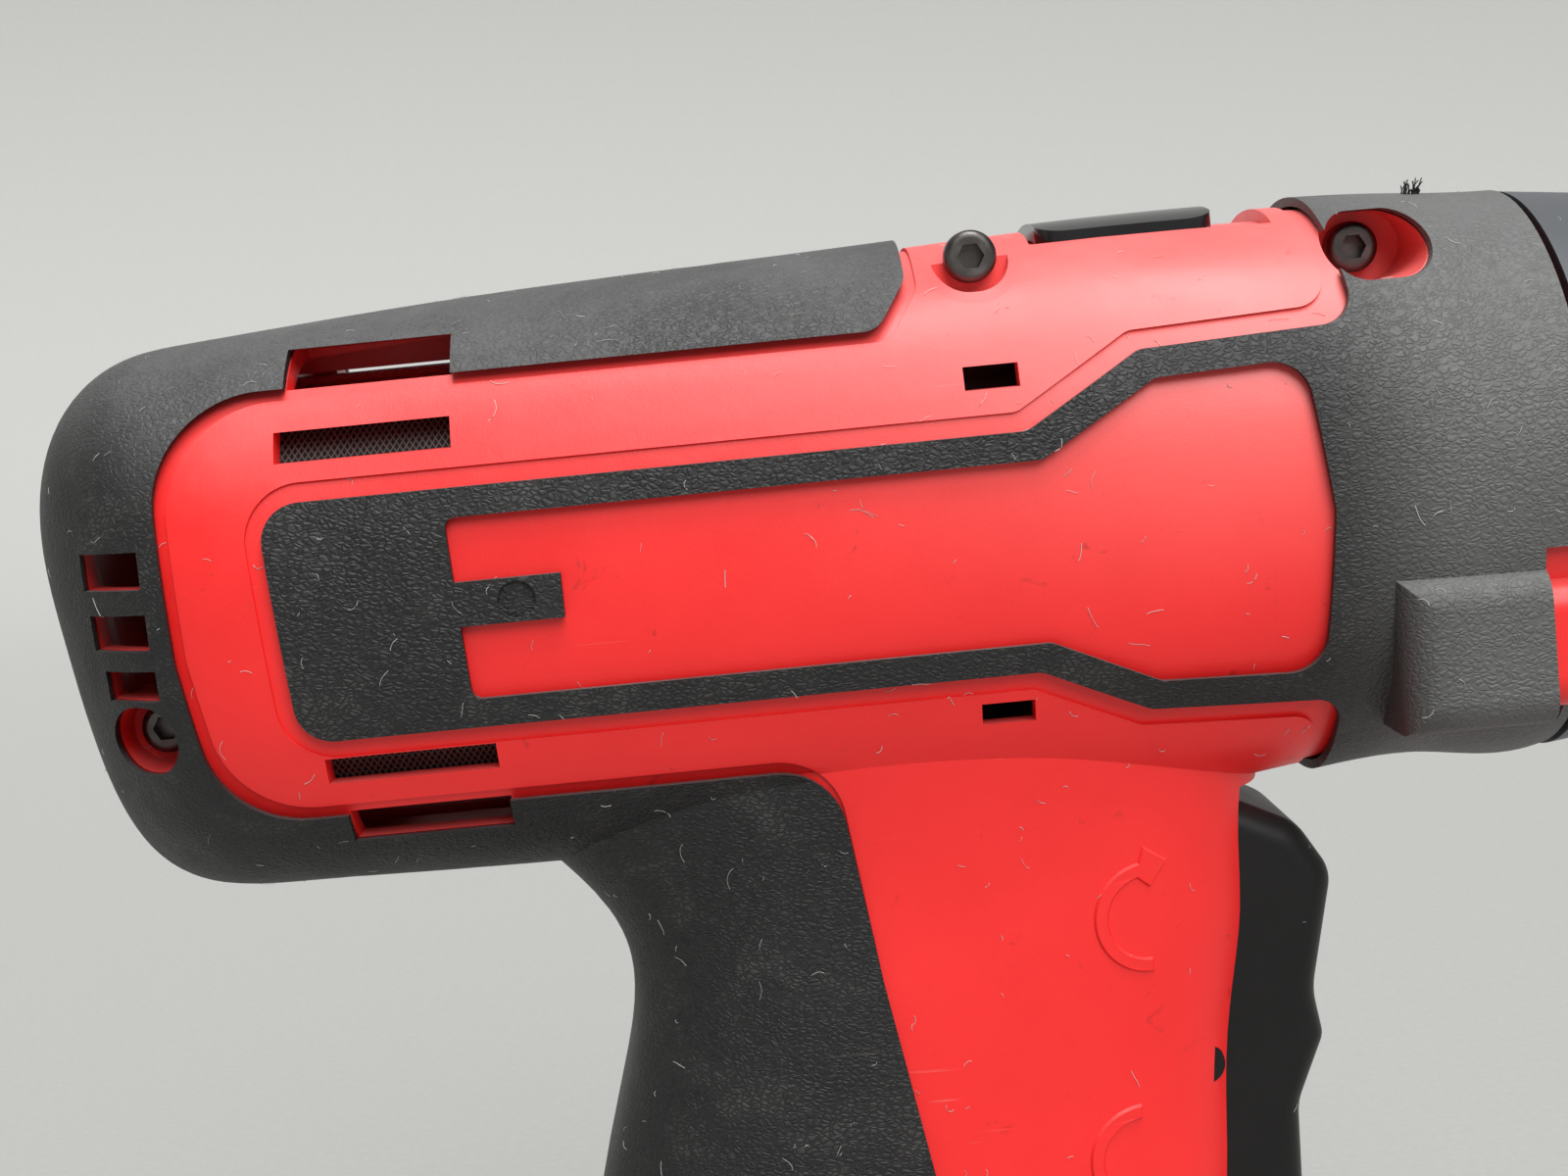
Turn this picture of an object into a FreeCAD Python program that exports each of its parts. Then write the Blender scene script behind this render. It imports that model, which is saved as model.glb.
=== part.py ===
import FreeCAD, Part
import os
import math

# Cordless pistol-grip driver. Millimetres. +X is forward along the spindle, +Z is up,
# and the origin is the centre of the battery's flat foot.
# Heights marked "above the spindle" are measured from the spindle axis.

# ---- overall -------------------------------------------------------------------------
AXIS_Z = 158.0          # spindle axis above the foot
BARREL_HALF_H = 28.0    # barrel, spindle axis to top or bottom
BARREL_HALF_W = 24.4    # barrel, spindle axis to side
REAR_X = -72.0          # rear end of the hard shell
NOSE_X = 74.0           # front end of the hard shell
DOME = 18.8             # length over which the rear end rounds off
REAR_LEAN = 0.14        # how far the rear face leans forward per mm downwards
ROUND_SIDE = 1.8        # how square the rear end is seen from above,
ROUND_TOP = 2.2         # towards its top
ROUND_LOW = 3.9         # and towards its bottom
HANDLE_HALF_W = 17.8    # handle, centre to side
RAKE = 14.0             # degrees that the handle leans back
BATTERY_H = 44.0        # battery base, foot to deck
BATTERY_HALF_L = 43.5
BATTERY_HALF_W = 28.0

# ---- shell ---------------------------------------------------------------------------
WALL = 2.6
SKIN = 0.9              # how proud the rubber stands
BED = 0.35              # shallow step in the shell around the rubber
BED_BORDER = 1.8        # width of that step outside the label frame
SEAM = 0.1              # gap between the two halves
GAP = 0.3               # between a moving piece and what it passes
RIB_T = 2.2              # cross walls that cradle the motor and the gearbox
SCREEN_LAP = 2.0        # how far a vent screen reaches past its vent
BAFFLE_T = 1.2          # wall above the motor, on each side of the parting plane
RUN = 0.05              # radial running clearance
PRESS = 0.02            # radial gap of a pressed or bonded piece

# ---- rubber outlines, above the spindle --------------------------------------------
STRIP_Z = 20.2          # lower edge of the top strip, and its mirror below
STRIP_FRONT_X = 14.1
PANEL_REAR_X = -57.3    # rear edge of the bare side panel
FRAME_REAR_X = -47.3
FRAME_TOP_Z = 9.8
FRAME_BOTTOM_Z = -12.5
RIB_W = 2.7             # width of the frame's two ribs
WINDOW_REAR_X = -30.3
WINDOW_FRONT_X = 49.8
RIB_BEND_X = 23.0       # where the ribs start to spread
RIB_SPREAD = 6.4        # how far the top rib climbs
RIB_DROP = 4.7          # how far the bottom rib drops
RING_REAR_X = 53.0      # rear edge of the front ring
TAB = (-30.3, -20.2, -0.9, 4.1)      # gate tab: rear, front, height, width
TAB_DIMPLE_R = 1.75

# ---- openings in the shell: rear x, front x, height above the spindle, opening -------
SIDE_VENTS = ((-45.6, -29.2, 14.8, 2.9), (-44.1, -28.1, -15.6, 2.5))
EDGE_CUTOUTS = ((-44.6, -28.9, 21.9, 3.8), (-42.9, -27.6, -21.5, 3.1))
REAR_VENTS = ((-65.4, -58.9, 4.9, 3.5), (-65.2, -58.8, -0.9, 3.4), (-64.4, -58.6, -6.0, 2.9))
WINDOWS = ((18.3, 23.4, 15.0, 2.2), (17.3, 22.3, -16.3, 2.1))

# ---- housing screws: x, height above the spindle, head depth, pocket length ----------
SCREWS = (
    (20.6, 26.3, 12.6, 0.6),
    (-61.2, -11.4, 9.5, 0.6),
    (58.6, 23.8, 5.0, 3.2),
    (-27.0, -104.0, 10.0, 0.0),
    (15.5, -99.0, 10.0, 0.0),
)
HEAD_R = 2.5
HEAD_H = 2.4
SHANK_R = 1.4
SOCKET_R = 1.3
POCKET_R = 3.4
POCKET_WALL = 1.1
BOSS_R = 3.7
SCREW_END_Y = 9.0

# ---- lamp pods -----------------------------------------------------------------------
POD_REAR_X = 56.4
POD_FRONT_X = 71.9
POD_SKIN_X = 69.2
POD_Z = -14.2           # above the spindle
POD_HALF_H = 6.4
POD_OUT_Y = 27.4
POD_IN_Y = 17.0
POD_ROUND = 3.0
LENS_R = 3.4
LENS_Y = 23.2
LENS_LEN = 5.0

# ---- motor ---------------------------------------------------------------------------
MOTOR_R = 21.2
MOTOR_REAR_X = -50.0
MOTOR_FRONT_X = 1.0
CAN_WALL = 1.6
MAGNET = 3.0
MAGNET_ARC = 130.0
AIR_GAP = 0.6
CAP_LEN = 3.6
SHAFT_R = 2.5
CORE = (-38.0, -14.0)
WINDING_OVER = 4.5
POLES = 5
COMMUTATOR_R = 6.0
COMMUTATOR = (-47.6, -43.4)
BRUSH = (3.0, 3.4)      # width along the shaft, width across
FAN = (-8.0, -3.0)
FAN_BLADES = 9
FAN_R = MOTOR_R - 5.7

# ---- gear train ----------------------------------------------------------------------
MODULE = 0.6
SUN_TEETH = 18
PLANET_TEETH = 15
RING_TEETH = SUN_TEETH + 2 * PLANET_TEETH
ORBIT_R = MODULE * (SUN_TEETH + PLANET_TEETH) / 2.0
PLANETS = 3
PRESSURE_ANGLE = math.radians(20.0)
BACKLASH = 0.16
PIN_R = 1.5
RING_WALL = 2.08
RING_R = MODULE * (RING_TEETH / 2.0 + 1.2) + RING_WALL
CARRIER_R = ORBIT_R + PIN_R + 1.6
STAGE_FIRST = (7.0, 13.0)     # planets, rear and front face
STAGE_SECOND = (19.5, 26.5)
STAGE_THIRD = (36.5, 44.5)
PLATE = 3.0
CASE_REAR_X = 4.4
CASE_JOIN_X = 34.0
CASE_FRONT_X = 54.0
CASE_WALL = 1.7

# ---- speed selector ------------------------------------------------------------------
SHIFT = 4.5
SLIDER_REAR_X = 27.6
SLIDER_FRONT_X = 44.8
SLIDER_HALF_W = 10.5
SLIDER_PROUD = 0.7
SLIDER_SUNK = 0.9
SHIFT_RING = (19.0, 27.0)
FORK_X = 24.2
FORK_T = 1.2
FORK_IN_R = RING_R - 0.7
FORK_OUT_R = RING_R + 1.3
SHIFT_CASE_R = RING_R + 1.7
LUGS = 6
LUG_R = RING_R + 1.0
LUG_HALF_W = 1.6
LUG_LEN = 3.0

# ---- spindle, chuck and clutch -------------------------------------------------------
SPINDLE_R = 5.95
SPINDLE_FRONT_X = 118.0
TUBE_R = 10.5
TUBE_BORE_R = 7.5
TUBE_FRONT_X = 95.0
HEX_AF = 6.5            # bit socket, across flats
HEX_DEPTH = 26.0
CHUCK_BALL_R = 1.75
CHUCK_BALL_X = 101.0
CHUCK_BALL_ORBIT = 4.3
SLEEVE_REAR_X = 98.0
SLEEVE_FRONT_X = 114.0
SLEEVE_R = 10.0
SLEEVE_BORE_R = 6.13
SLEEVE_CHAMBER_R = 8.7
SLEEVE_CHAMBER_X = 104.0
SNAP_RING_X = 115.0
SNAP_RING_R = 8.3
COLLAR_REAR_X = 74.7
COLLAR_FRONT_X = 96.0
COLLAR_REAR_R = 28.0
COLLAR_FRONT_R = 25.6
COLLAR_WALL = 3.0
COLLAR_FLUTES = 18
COLLAR_FLUTE_R = 1.5
CLUTCH_BALL_R = 2.0
CLUTCH_BALLS = 6
CLUTCH_BALL_ORBIT = RING_R - 1.8
NUT_REAR_X = 79.6
NUT_LEN = 7.0
NUT_R = 19.0
NUT_KEY_R = 21.6
NUT_KEY_HALF_W = 3.0
WASHER_X = 55.4
WASHER_T = 1.6
SPRING_WIRE_R = 1.1
SPRING_COIL_R = 13.0
SPRING_TURNS = 4.0

# ---- trigger, switch, battery, heights above the spindle ----------------------------
TRIGGER_HALF_W = 10.4
TRIGGER_TOP_Z = -29.4
TRIGGER_BOTTOM_Z = -81.0
TRIGGER_BACK_X = 33.5
TRIGGER_ROUND = 2.6
PIVOT_X = 37.0
PIVOT_Z = -55.0
PIVOT_R = 2.0
AXLE_END = 1.6          # how far the axle stands out of the trigger's sides
PLUNGER_REACH = 17.0    # plunger above and below the trigger pivot
PLUNGER_R = 2.4
SWITCH = (8.0, 27.5, -77.0, -33.0)
SWITCH_HALF_W = 10.4
CELL_R = 9.2
CELL_LEN = 65.0
STEM_CENTRE_X = -9.0    # stem centre at deck height
STEM_HALF_D = 14.0
STEM_HALF_W = 12.6
STEM_H = 28.0
COVER_H = 3.2
CASE_T = 2.2
CORNER_R = 12.0
LATCH = (-10.0, 12.0, 24.0, 37.0)   # button: x range, z range from the foot
LATCH_PROUD = 1.2
LATCH_FLANGE = 1.6
DECK_GAP = 0.4

V = FreeCAD.Vector
FOOT_Z = BATTERY_H + DECK_GAP
FAR = 400.0


# ---- basic shapes --------------------------------------------------------------------
def box(x0, x1, y0, y1, z0, z1):
    return Part.makeBox(x1 - x0, y1 - y0, z1 - z0, V(x0, y0, z0))


def rod(x0, x1, r, y=0.0, z=AXIS_Z):
    return Part.makeCylinder(r, x1 - x0, V(x0, y, z), V(1, 0, 0))


def tube(x0, x1, r_out, r_in, y=0.0, z=AXIS_Z):
    return rod(x0, x1, r_out, y, z).cut(rod(x0 - 1, x1 + 1, r_in, y, z))


def cross_rod(x, z, y0, y1, r):
    return Part.makeCylinder(r, y1 - y0, V(x, y0, z), V(0, 1, 0))


def cross_slot(x, z, y0, y1, r, length):
    """A rod along Y, stretched along X by length."""
    body = cross_rod(x - length / 2.0, z, y0, y1, r)
    if length > 0:
        body = body.fuse(cross_rod(x + length / 2.0, z, y0, y1, r))
        body = body.fuse(box(x - length / 2.0, x + length / 2.0, y0, y1, z - r, z + r))
    return body


def union(shapes):
    shapes = list(shapes)
    return shapes[0].multiFuse(shapes[1:]).removeSplitter() if len(shapes) > 1 else shapes[0]


def mirrored(shape):
    return shape.mirror(V(0, 0, 0), V(0, 1, 0))


def around_axis(shape, degrees, y=0.0, z=AXIS_Z):
    turned = shape.copy()
    turned.rotate(V(0, y, z), V(1, 0, 0), degrees)
    return turned


def arc_corner(before, corner, after, r):
    """Start, middle and end of the arc that rounds a corner."""
    a = (before - corner).normalize()
    b = (after - corner).normalize()
    half = a.getAngle(b) / 2.0
    reach = r / math.tan(half)
    centre = corner + (a + b).normalize() * (r / math.sin(half))
    middle = centre + (corner - centre).normalize() * r
    return corner + a * reach, middle, corner + b * reach


def side_prism(outline, y0, y1):
    """Prism along Y from (x, height above the spindle, corner radius) points."""
    points = [V(x, y0, AXIS_Z + h) for x, h, _ in outline]
    edges = []
    last = None
    first = None
    for i, (_, _, r) in enumerate(outline):
        before, corner, after = points[i - 1], points[i], points[(i + 1) % len(points)]
        if r > 0:
            start, middle, end = arc_corner(before, corner, after, r)
        else:
            start = end = corner
        if last is None:
            first = start
        else:
            edges.append(Part.LineSegment(last, start).toShape())
        if r > 0:
            edges.append(Part.Arc(start, middle, end).toShape())
        last = end
    edges.append(Part.LineSegment(last, first).toShape())
    return Part.Face(Part.Wire(edges)).extrude(V(0, y1 - y0, 0))


def superellipse(half_a, up_b, down_b, power, count=28):
    """Points of a rounded outline, starting at its lowest point."""
    points = []
    for i in range(count):
        angle = -math.pi / 2 + 2 * math.pi * i / count
        c, s = math.cos(angle), math.sin(angle)
        a = math.copysign(abs(c) ** (2.0 / power), c) * half_a
        b = math.copysign(abs(s) ** (2.0 / power), s) * (up_b if s > 0 else down_b)
        points.append((a, b))
    return points


def closed_curve(points):
    curve = Part.BSplineCurve()
    steps = [float(i) for i in range(len(points) + 1)]
    curve.interpolate(Points=points, PeriodicFlag=True, Parameters=steps)
    return Part.Wire(curve.toShape())


# ---- outer form ------------------------------------------------------------------------
def barrel_sections():
    """x, top, bottom, half width, power and lean of each section of the barrel."""
    top, low, side = BARREL_HALF_H, BARREL_HALF_H, BARREL_HALF_W
    return (
        (REAR_X + DOME, top - 3.3, low + 0.4, side - 0.4, 2.5, REAR_LEAN),
        (-40.0, top - 2.1, low + 0.6, side - 0.1, 2.5, 0.02),
        (-20.0, top - 1.0, low + 0.9, side, 2.5, 0.0),
        (6.0, top - 0.2, low + 0.9, side, 2.5, 0.0),
        (17.0, top + 0.2, low + 0.9, side, 2.5, 0.0),
        (25.0, top + 0.5, low + 0.8, side + 0.1, 2.5, 0.0),
        (38.0, top + 0.7, low + 0.5, side + 0.3, 2.45, 0.0),
        (50.0, top + 0.6, low - 0.8, side + 0.9, 2.35, 0.0),
        (62.0, top + 0.1, low - 1.4, side + 1.9, 2.15, 0.0),
        (NOSE_X, top - 0.7, low - 1.0, side + 2.4, 2.0, 0.0),
    )


def barrel(offset):
    """The barrel's outside, grown by offset."""
    wires = []
    x0, top, low, side, power, lean = barrel_sections()[0]
    for share in (0.012, 0.05, 0.12, 0.24, 0.42, 0.68):
        powers = (ROUND_SIDE, ROUND_TOP, ROUND_LOW)
        wide, high, deep = [(1.0 - (1.0 - share) ** k) ** (1.0 / k) for k in powers]
        x = REAR_X - offset + share * (DOME + offset)
        points = superellipse((side + offset) * wide, (top + offset) * high, (low + offset) * deep, power)
        wires.append(closed_curve([V(x - lean * b, a, AXIS_Z + b) for a, b in points]))
    for x, top, low, side, power, lean in barrel_sections():
        points = superellipse(side + offset, top + offset, low + offset, power)
        if x == NOSE_X:
            x += min(offset, 0.0)
        wires.append(closed_curve([V(x - lean * b, a, AXIS_Z + b) for a, b in points]))
    return Part.makeLoft(wires, True, False)


def handle_sections():
    """Height above the spindle, back x, front x, half width and power of each section."""
    foot = FOOT_Z - AXIS_Z
    w = HANDLE_HALF_W
    return (
        (-15.0, -37.0, 50.0, w + 2.2, 2.6),
        (-22.0, -31.0, 47.4, w + 1.5, 2.7),
        (-29.0, -25.0, 45.6, w + 0.6, 2.8),
        (-36.0, -19.6, 44.6, w + 0.1, 3.0),
        (-43.0, -18.3, 43.9, w, 3.0),
        (-60.0, -22.6, 41.6, w - 0.2, 3.0),
        (-78.0, -27.0, 38.2, w - 0.3, 3.0),
        (-88.0, -29.4, 30.0, w - 0.3, 3.0),
        (-97.0, -31.7, 22.0, w, 3.0),
        (foot + 9.5, -35.0, 22.5, w + 1.8, 3.0),
        (foot + 4.0, -42.0, 35.5, w + 7.6, 3.6),
        (foot, -BATTERY_HALF_L, BATTERY_HALF_L, BATTERY_HALF_W, 4.4),
    )


def handle(offset):
    """The handle's outside, grown by offset."""
    wires = []
    for h, back, front, half_w, power in handle_sections():
        z = AXIS_Z + h
        if z == FOOT_Z:
            z -= min(offset, 0.0)
        half_d = (front - back) / 2.0 + offset
        centre = (front + back) / 2.0
        points = superellipse(half_w + offset, half_d, half_d, power)
        wires.append(closed_curve([V(centre + b, a, z) for a, b in points]))
    return Part.makeLoft(wires, True, False)


def pod(offset, side):
    """One lamp pod, side -1 for right and 1 for left."""
    block = box(
        POD_REAR_X - offset, POD_FRONT_X + min(offset, 0.0), POD_IN_Y, POD_OUT_Y + offset,
        AXIS_Z + POD_Z - POD_HALF_H - offset, AXIS_Z + POD_Z + POD_HALF_H + offset)
    along = [e for e in block.Edges if abs(e.tangentAt(e.FirstParameter).x) > 0.9
             and e.CenterOfMass.y > POD_IN_Y + 1]
    rear = [e for e in block.Edges if e.CenterOfMass.x < POD_REAR_X - offset + 0.1
            and e.CenterOfMass.y > POD_OUT_Y + offset - 0.1]
    block = block.makeFillet(POD_ROUND, along + rear)
    return block if side > 0 else mirrored(block)


def outer(offset):
    return union([barrel(offset), handle(offset), pod(offset, 1), pod(offset, -1)])


def half_space(side):
    """Everything on one side of the seam, side -1 for right and 1 for left."""
    if side < 0:
        return box(-FAR, FAR, -FAR, -SEAM / 2, -FAR, FAR)
    return box(-FAR, FAR, SEAM / 2, FAR, -FAR, FAR)


# ---- rubber outlines -------------------------------------------------------------------
def side_region(outline):
    return side_prism(outline, -FAR, FAR)


def rear_region(grow=0.0):
    """Rear bumper, top strip, lower strip and handle back. Grow widens its inner edge."""
    edge = STRIP_Z - grow
    front = STRIP_FRONT_X + grow
    return side_region((
        (front, 60.0, 0.0),
        (front, edge + 4.6, 2.0),
        (front - 3.2, edge, 2.5),
        (PANEL_REAR_X + grow, edge, 10.0),
        (PANEL_REAR_X + grow + 0.7, -4.0, 0.0),
        (PANEL_REAR_X + grow + 3.1, -edge, 9.0),
        (3.0, -edge, 6.5),
        (5.9, -42.0, 0.0),
        (9.2, -62.0, 0.0),
        (10.5, -84.0, 10.0),
        (2.0, -130.0, 0.0),
        (-100.0, -130.0, 0.0),
        (-100.0, 60.0, 0.0),
    ))


def frame_region(grow):
    """Front ring with the label frame, filled. Grow widens it."""
    top, bottom = FRAME_TOP_Z + grow, FRAME_BOTTOM_Z - grow
    bend = RIB_BEND_X - grow * 0.4
    ring = RING_REAR_X - grow
    return side_region((
        (FRAME_REAR_X - grow, top, 3.5 + grow),
        (FRAME_REAR_X - grow + 1.6, bottom, 3.5 + grow),
        (bend, bottom, 2.0),
        (bend + 10.0, bottom - RIB_DROP, 2.0),
        (ring - 2.0, bottom - RIB_DROP - 0.9, 2.5),
        (ring - 2.6, -60.0, 0.0),
        (NOSE_X + 20.0, -60.0, 0.0),
        (NOSE_X + 20.0, 60.0, 0.0),
        (ring - 1.2, 60.0, 0.0),
        (ring + 1.6, top + RIB_SPREAD + 0.7, 3.0),
        (bend + 11.5, top + RIB_SPREAD, 2.0),
        (bend + 0.5, top, 2.0),
    ))


def window_region():
    """The bare label window inside the frame."""
    top, bottom = FRAME_TOP_Z - RIB_W, FRAME_BOTTOM_Z + RIB_W
    bend = RIB_BEND_X + RIB_W * 0.4
    return side_region((
        (WINDOW_REAR_X, top, 1.0),
        (WINDOW_REAR_X + 0.8, bottom, 1.0),
        (bend, bottom, 1.5),
        (bend + 10.0, bottom - RIB_DROP, 1.5),
        (WINDOW_FRONT_X - 0.6, bottom - RIB_DROP - 0.6, 3.5),
        (WINDOW_FRONT_X + 0.9, 0.0, 0.0),
        (WINDOW_FRONT_X - 0.6, top + RIB_SPREAD + 0.5, 3.5),
        (bend + 11.5, top + RIB_SPREAD, 1.5),
        (bend + 0.5, top, 1.5),
    ))


def slot_cutter(slot, side, depth):
    """Rectangular hole through one side of the shell."""
    x0, x1, h, opening = slot
    y0, y1 = (-FAR, -depth) if side < 0 else (depth, FAR)
    return box(x0, x1, y0, y1, AXIS_Z + h - opening / 2.0, AXIS_Z + h + opening / 2.0)


def shell_openings(side):
    """Vents, cutouts and windows of one side."""
    slots = SIDE_VENTS + REAR_VENTS + WINDOWS + EDGE_CUTOUTS
    return [slot_cutter(s, side, 4.0) for s in slots]


def screw_pockets():
    """Screw heads sink into the right side, the front two with long pockets."""
    return [cross_slot(x, AXIS_Z + h, -FAR, -depth, POCKET_R, length)
            for x, h, depth, length in SCREWS]


# ---- housing -----------------------------------------------------------------------------
def rib(x, bore_r, inner):
    """A cross wall that cradles the motor or the gearbox, open at the bottom for the leads."""
    slab = box(x, x + RIB_T, -60, 60, AXIS_Z + SWITCH[3] + GAP, AXIS_Z + 40)
    wall = inner.common(slab).cut(rod(x - 1, x + RIB_T + 1, bore_r))
    return wall.cut(box(x - 1, x + RIB_T + 1, -8.0, 8.0, AXIS_Z - 60, AXIS_Z - 15))


def baffle(inner):
    """A wall above the motor, so that the upper cutouts don't look through the housing."""
    rear, front, _, _ = EDGE_CUTOUTS[0]
    wall = box(rear - 3.0, front + 3.0, -BAFFLE_T, BAFFLE_T, AXIS_Z, AXIS_Z + 60)
    return inner.common(wall).cut(rod(rear - 4.0, front + 4.0, MOTOR_R + GAP))


def screw_boss(x, h, depth, length):
    """Boss across both halves, wide around the pocket on the right."""
    z = AXIS_Z + h
    collar = cross_slot(x, z, -60, -depth + 2.0, POCKET_R + POCKET_WALL, length)
    return collar.fuse(cross_rod(x, z, -depth, 60, BOSS_R))


def trigger_opening():
    top, bottom = AXIS_Z + TRIGGER_TOP_Z + 1.6, AXIS_Z + TRIGGER_BOTTOM_Z - 1.6
    half_w = TRIGGER_HALF_W + GAP
    return box(TRIGGER_BACK_X - 3.0, 70.0, -half_w, half_w, bottom, top)


def stem_block(grow, z0, z1):
    """The battery stem's outline, raked with the handle."""
    block = box(
        STEM_CENTRE_X - STEM_HALF_D - grow, STEM_CENTRE_X + STEM_HALF_D + grow,
        -STEM_HALF_W - grow, STEM_HALF_W + grow, z0, z1)
    block = block.makeFillet(4.0, [e for e in block.Edges if abs(e.tangentAt(0).z) > 0.9])
    return raked(block)


def raked(shape):
    """Lean a piece that was built upright back along the handle."""
    turned = shape.copy()
    turned.rotate(V(STEM_CENTRE_X, 0, BATTERY_H), V(0, 1, 0), RAKE)
    return turned


def slider_pocket(full, inset):
    """Recess for the speed slider, and the slot that its stem passes through."""
    area = box(SLIDER_REAR_X - 1.0, SLIDER_FRONT_X + SHIFT + 0.7,
               -SLIDER_HALF_W - 0.6, SLIDER_HALF_W + 0.6, AXIS_Z, AXIS_Z + 60)
    slot = box(SLIDER_REAR_X + 1.7, SLIDER_REAR_X + 17.0, -5.4, 5.4, AXIS_Z + 18, AXIS_Z + 60)
    return area.cut(inset).common(full.fuse(area)).fuse(slot)


def shell(full, cavity):
    """Both halves of the housing as one piece, before the split."""
    body = full.cut(cavity)
    inner = outer(-WALL + 0.4)
    ribs = [rib(x, r, inner) for x, r in (
        (MOTOR_REAR_X + 1.0, MOTOR_R + PRESS), (MOTOR_FRONT_X - 4.0, MOTOR_R + PRESS),
        (CASE_REAR_X + 4.0, RING_R + CASE_WALL + PRESS),
        (CASE_FRONT_X - 7.0, RING_R + CASE_WALL + PRESS))]
    bosses = [screw_boss(*place).common(full) for place in SCREWS]
    inner_y, outer_y = TRIGGER_HALF_W + GAP, HANDLE_HALF_W + 0.2
    pivot_bosses = [cross_rod(PIVOT_X, AXIS_Z + PIVOT_Z, y0, y1, PIVOT_R + 1.8).common(full)
                    for y0, y1 in ((-outer_y, -inner_y), (inner_y, outer_y))]
    bed = frame_region(BED_BORDER).fuse(rear_region(BED_BORDER * 0.6))
    step = full.cut(outer(-BED)).common(bed)
    body = body.multiFuse(ribs + bosses + pivot_bosses + [baffle(inner)])
    nose_bore = rod(NOSE_X - WALL - 2, NOSE_X + 1, SPRING_COIL_R + SPRING_WIRE_R + 2.0)
    pocket = slider_pocket(full, outer(-SLIDER_SUNK - GAP))
    cutters = [nose_bore, trigger_opening(), pocket, stem_block(0.5, BATTERY_H - 20, BATTERY_H + 14)]
    cutters += screw_pockets()
    cutters += [cross_rod(x, AXIS_Z + h, -depth - 1, SCREW_END_Y + 0.3, SHANK_R + PRESS)
                for x, h, depth, _ in SCREWS]
    cutters += shell_openings(-1) + shell_openings(1)
    cutters += [rod(POD_REAR_X + 3, POD_FRONT_X + 1, LENS_R + PRESS, s * LENS_Y, AXIS_Z + POD_Z)
                for s in (-1, 1)]
    return body.cut(step).cut(union(cutters))


def rubber(full, region, side, cuts):
    """A rubber skin over one side of the housing."""
    skin = outer(SKIN).cut(full).common(region).common(half_space(side))
    return skin.cut(union(cuts))


def front_region():
    tab_rear, tab_front, h, width = TAB
    tab = box(tab_rear - 2, tab_front, -FAR, FAR, AXIS_Z + h - width / 2, AXIS_Z + h + width / 2)
    return frame_region(0.0).cut(window_region()).fuse(tab)


def skin_cuts(side):
    """What the rubber leaves free."""
    cuts = shell_openings(side)
    cuts.append(box(POD_SKIN_X, POD_FRONT_X + 1, -60, 60,
                    AXIS_Z + POD_Z - 9, AXIS_Z + POD_Z + 9).cut(rod(0, 90, BARREL_HALF_W + 2.2)))
    cuts.append(cross_rod(-24.4, AXIS_Z + TAB[2], -FAR, -BARREL_HALF_W - 0.35, TAB_DIMPLE_R))
    if side < 0:
        cuts += screw_pockets()
    return cuts


def screw(x, h, depth):
    """Pan head screw along Y with a hexagonal socket."""
    z = AXIS_Z + h
    head = cross_rod(x, z, -depth - HEAD_H + 0.01, -depth, HEAD_R)
    rim = [e for e in head.Edges if e.CenterOfMass.y < -depth - HEAD_H + 0.1 and e.Closed]
    head = head.makeFillet(0.7, rim[:1])
    shank = cross_rod(x, z, -depth, SCREW_END_Y, SHANK_R)
    corners = [V(x + SOCKET_R * math.cos(math.radians(a)), -depth - HEAD_H - 1,
                 z + SOCKET_R * math.sin(math.radians(a))) for a in range(0, 361, 60)]
    socket = Part.Face(Part.makePolygon(corners)).extrude(V(0, 2.6, 0))
    return head.fuse(shank).cut(socket)


def vent_screens():
    """Fine screens behind the side vents."""
    layer = outer(-WALL - 0.1).cut(outer(-WALL - 0.6))
    behind_rib = MOTOR_REAR_X + 1.0 + RIB_T + GAP
    pieces = []
    for x0, x1, h, opening in SIDE_VENTS:
        rear, front = max(x0 - SCREEN_LAP, behind_rib), x1 + SCREEN_LAP
        for side in (-1, 1):
            window = slot_cutter((rear, front, h, opening + 3.0), side, 8.0)
            pieces.append(layer.common(window))
    return Part.makeCompound(pieces)


# ---- motor -------------------------------------------------------------------------------
def motor_can():
    can = rod(MOTOR_REAR_X, MOTOR_FRONT_X, MOTOR_R)
    can = can.cut(rod(MOTOR_REAR_X - 1, MOTOR_FRONT_X - CAN_WALL, MOTOR_R - CAN_WALL))
    return can.cut(rod(MOTOR_FRONT_X - 5, MOTOR_FRONT_X + 1, SHAFT_R + RUN))


def motor_end_cap():
    cap = rod(MOTOR_REAR_X - CAP_LEN, MOTOR_REAR_X - PRESS, MOTOR_R - 0.6)
    hub = rod(MOTOR_REAR_X - CAP_LEN, MOTOR_REAR_X + 1.5, SHAFT_R + 2.5)
    vent = rod(MOTOR_REAR_X - CAP_LEN - 1, MOTOR_REAR_X + 1, 3.0, 0, AXIS_Z + MOTOR_R - 7.2)
    vents = [around_axis(vent, a) for a in (45, 135, 225, 315)]
    bore = rod(MOTOR_REAR_X - CAP_LEN + 1, MOTOR_REAR_X + 2, SHAFT_R + RUN)
    return cap.fuse(hub).cut(bore).cut(union(vents))


def sector(x0, x1, r_out, r_in, start, sweep):
    """Part of a tube, angles in degrees from +Y towards +Z."""
    ring = Part.makeCylinder(r_out, x1 - x0, V(0, 0, 0), V(0, 0, 1), sweep)
    ring = ring.cut(Part.makeCylinder(r_in, x1 - x0 + 2, V(0, 0, -1), V(0, 0, 1)))
    ring.Placement = FreeCAD.Placement(V(x0, 0, AXIS_Z), FreeCAD.Rotation(V(1, 1, 1), 120))
    return around_axis(ring, start)


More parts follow.
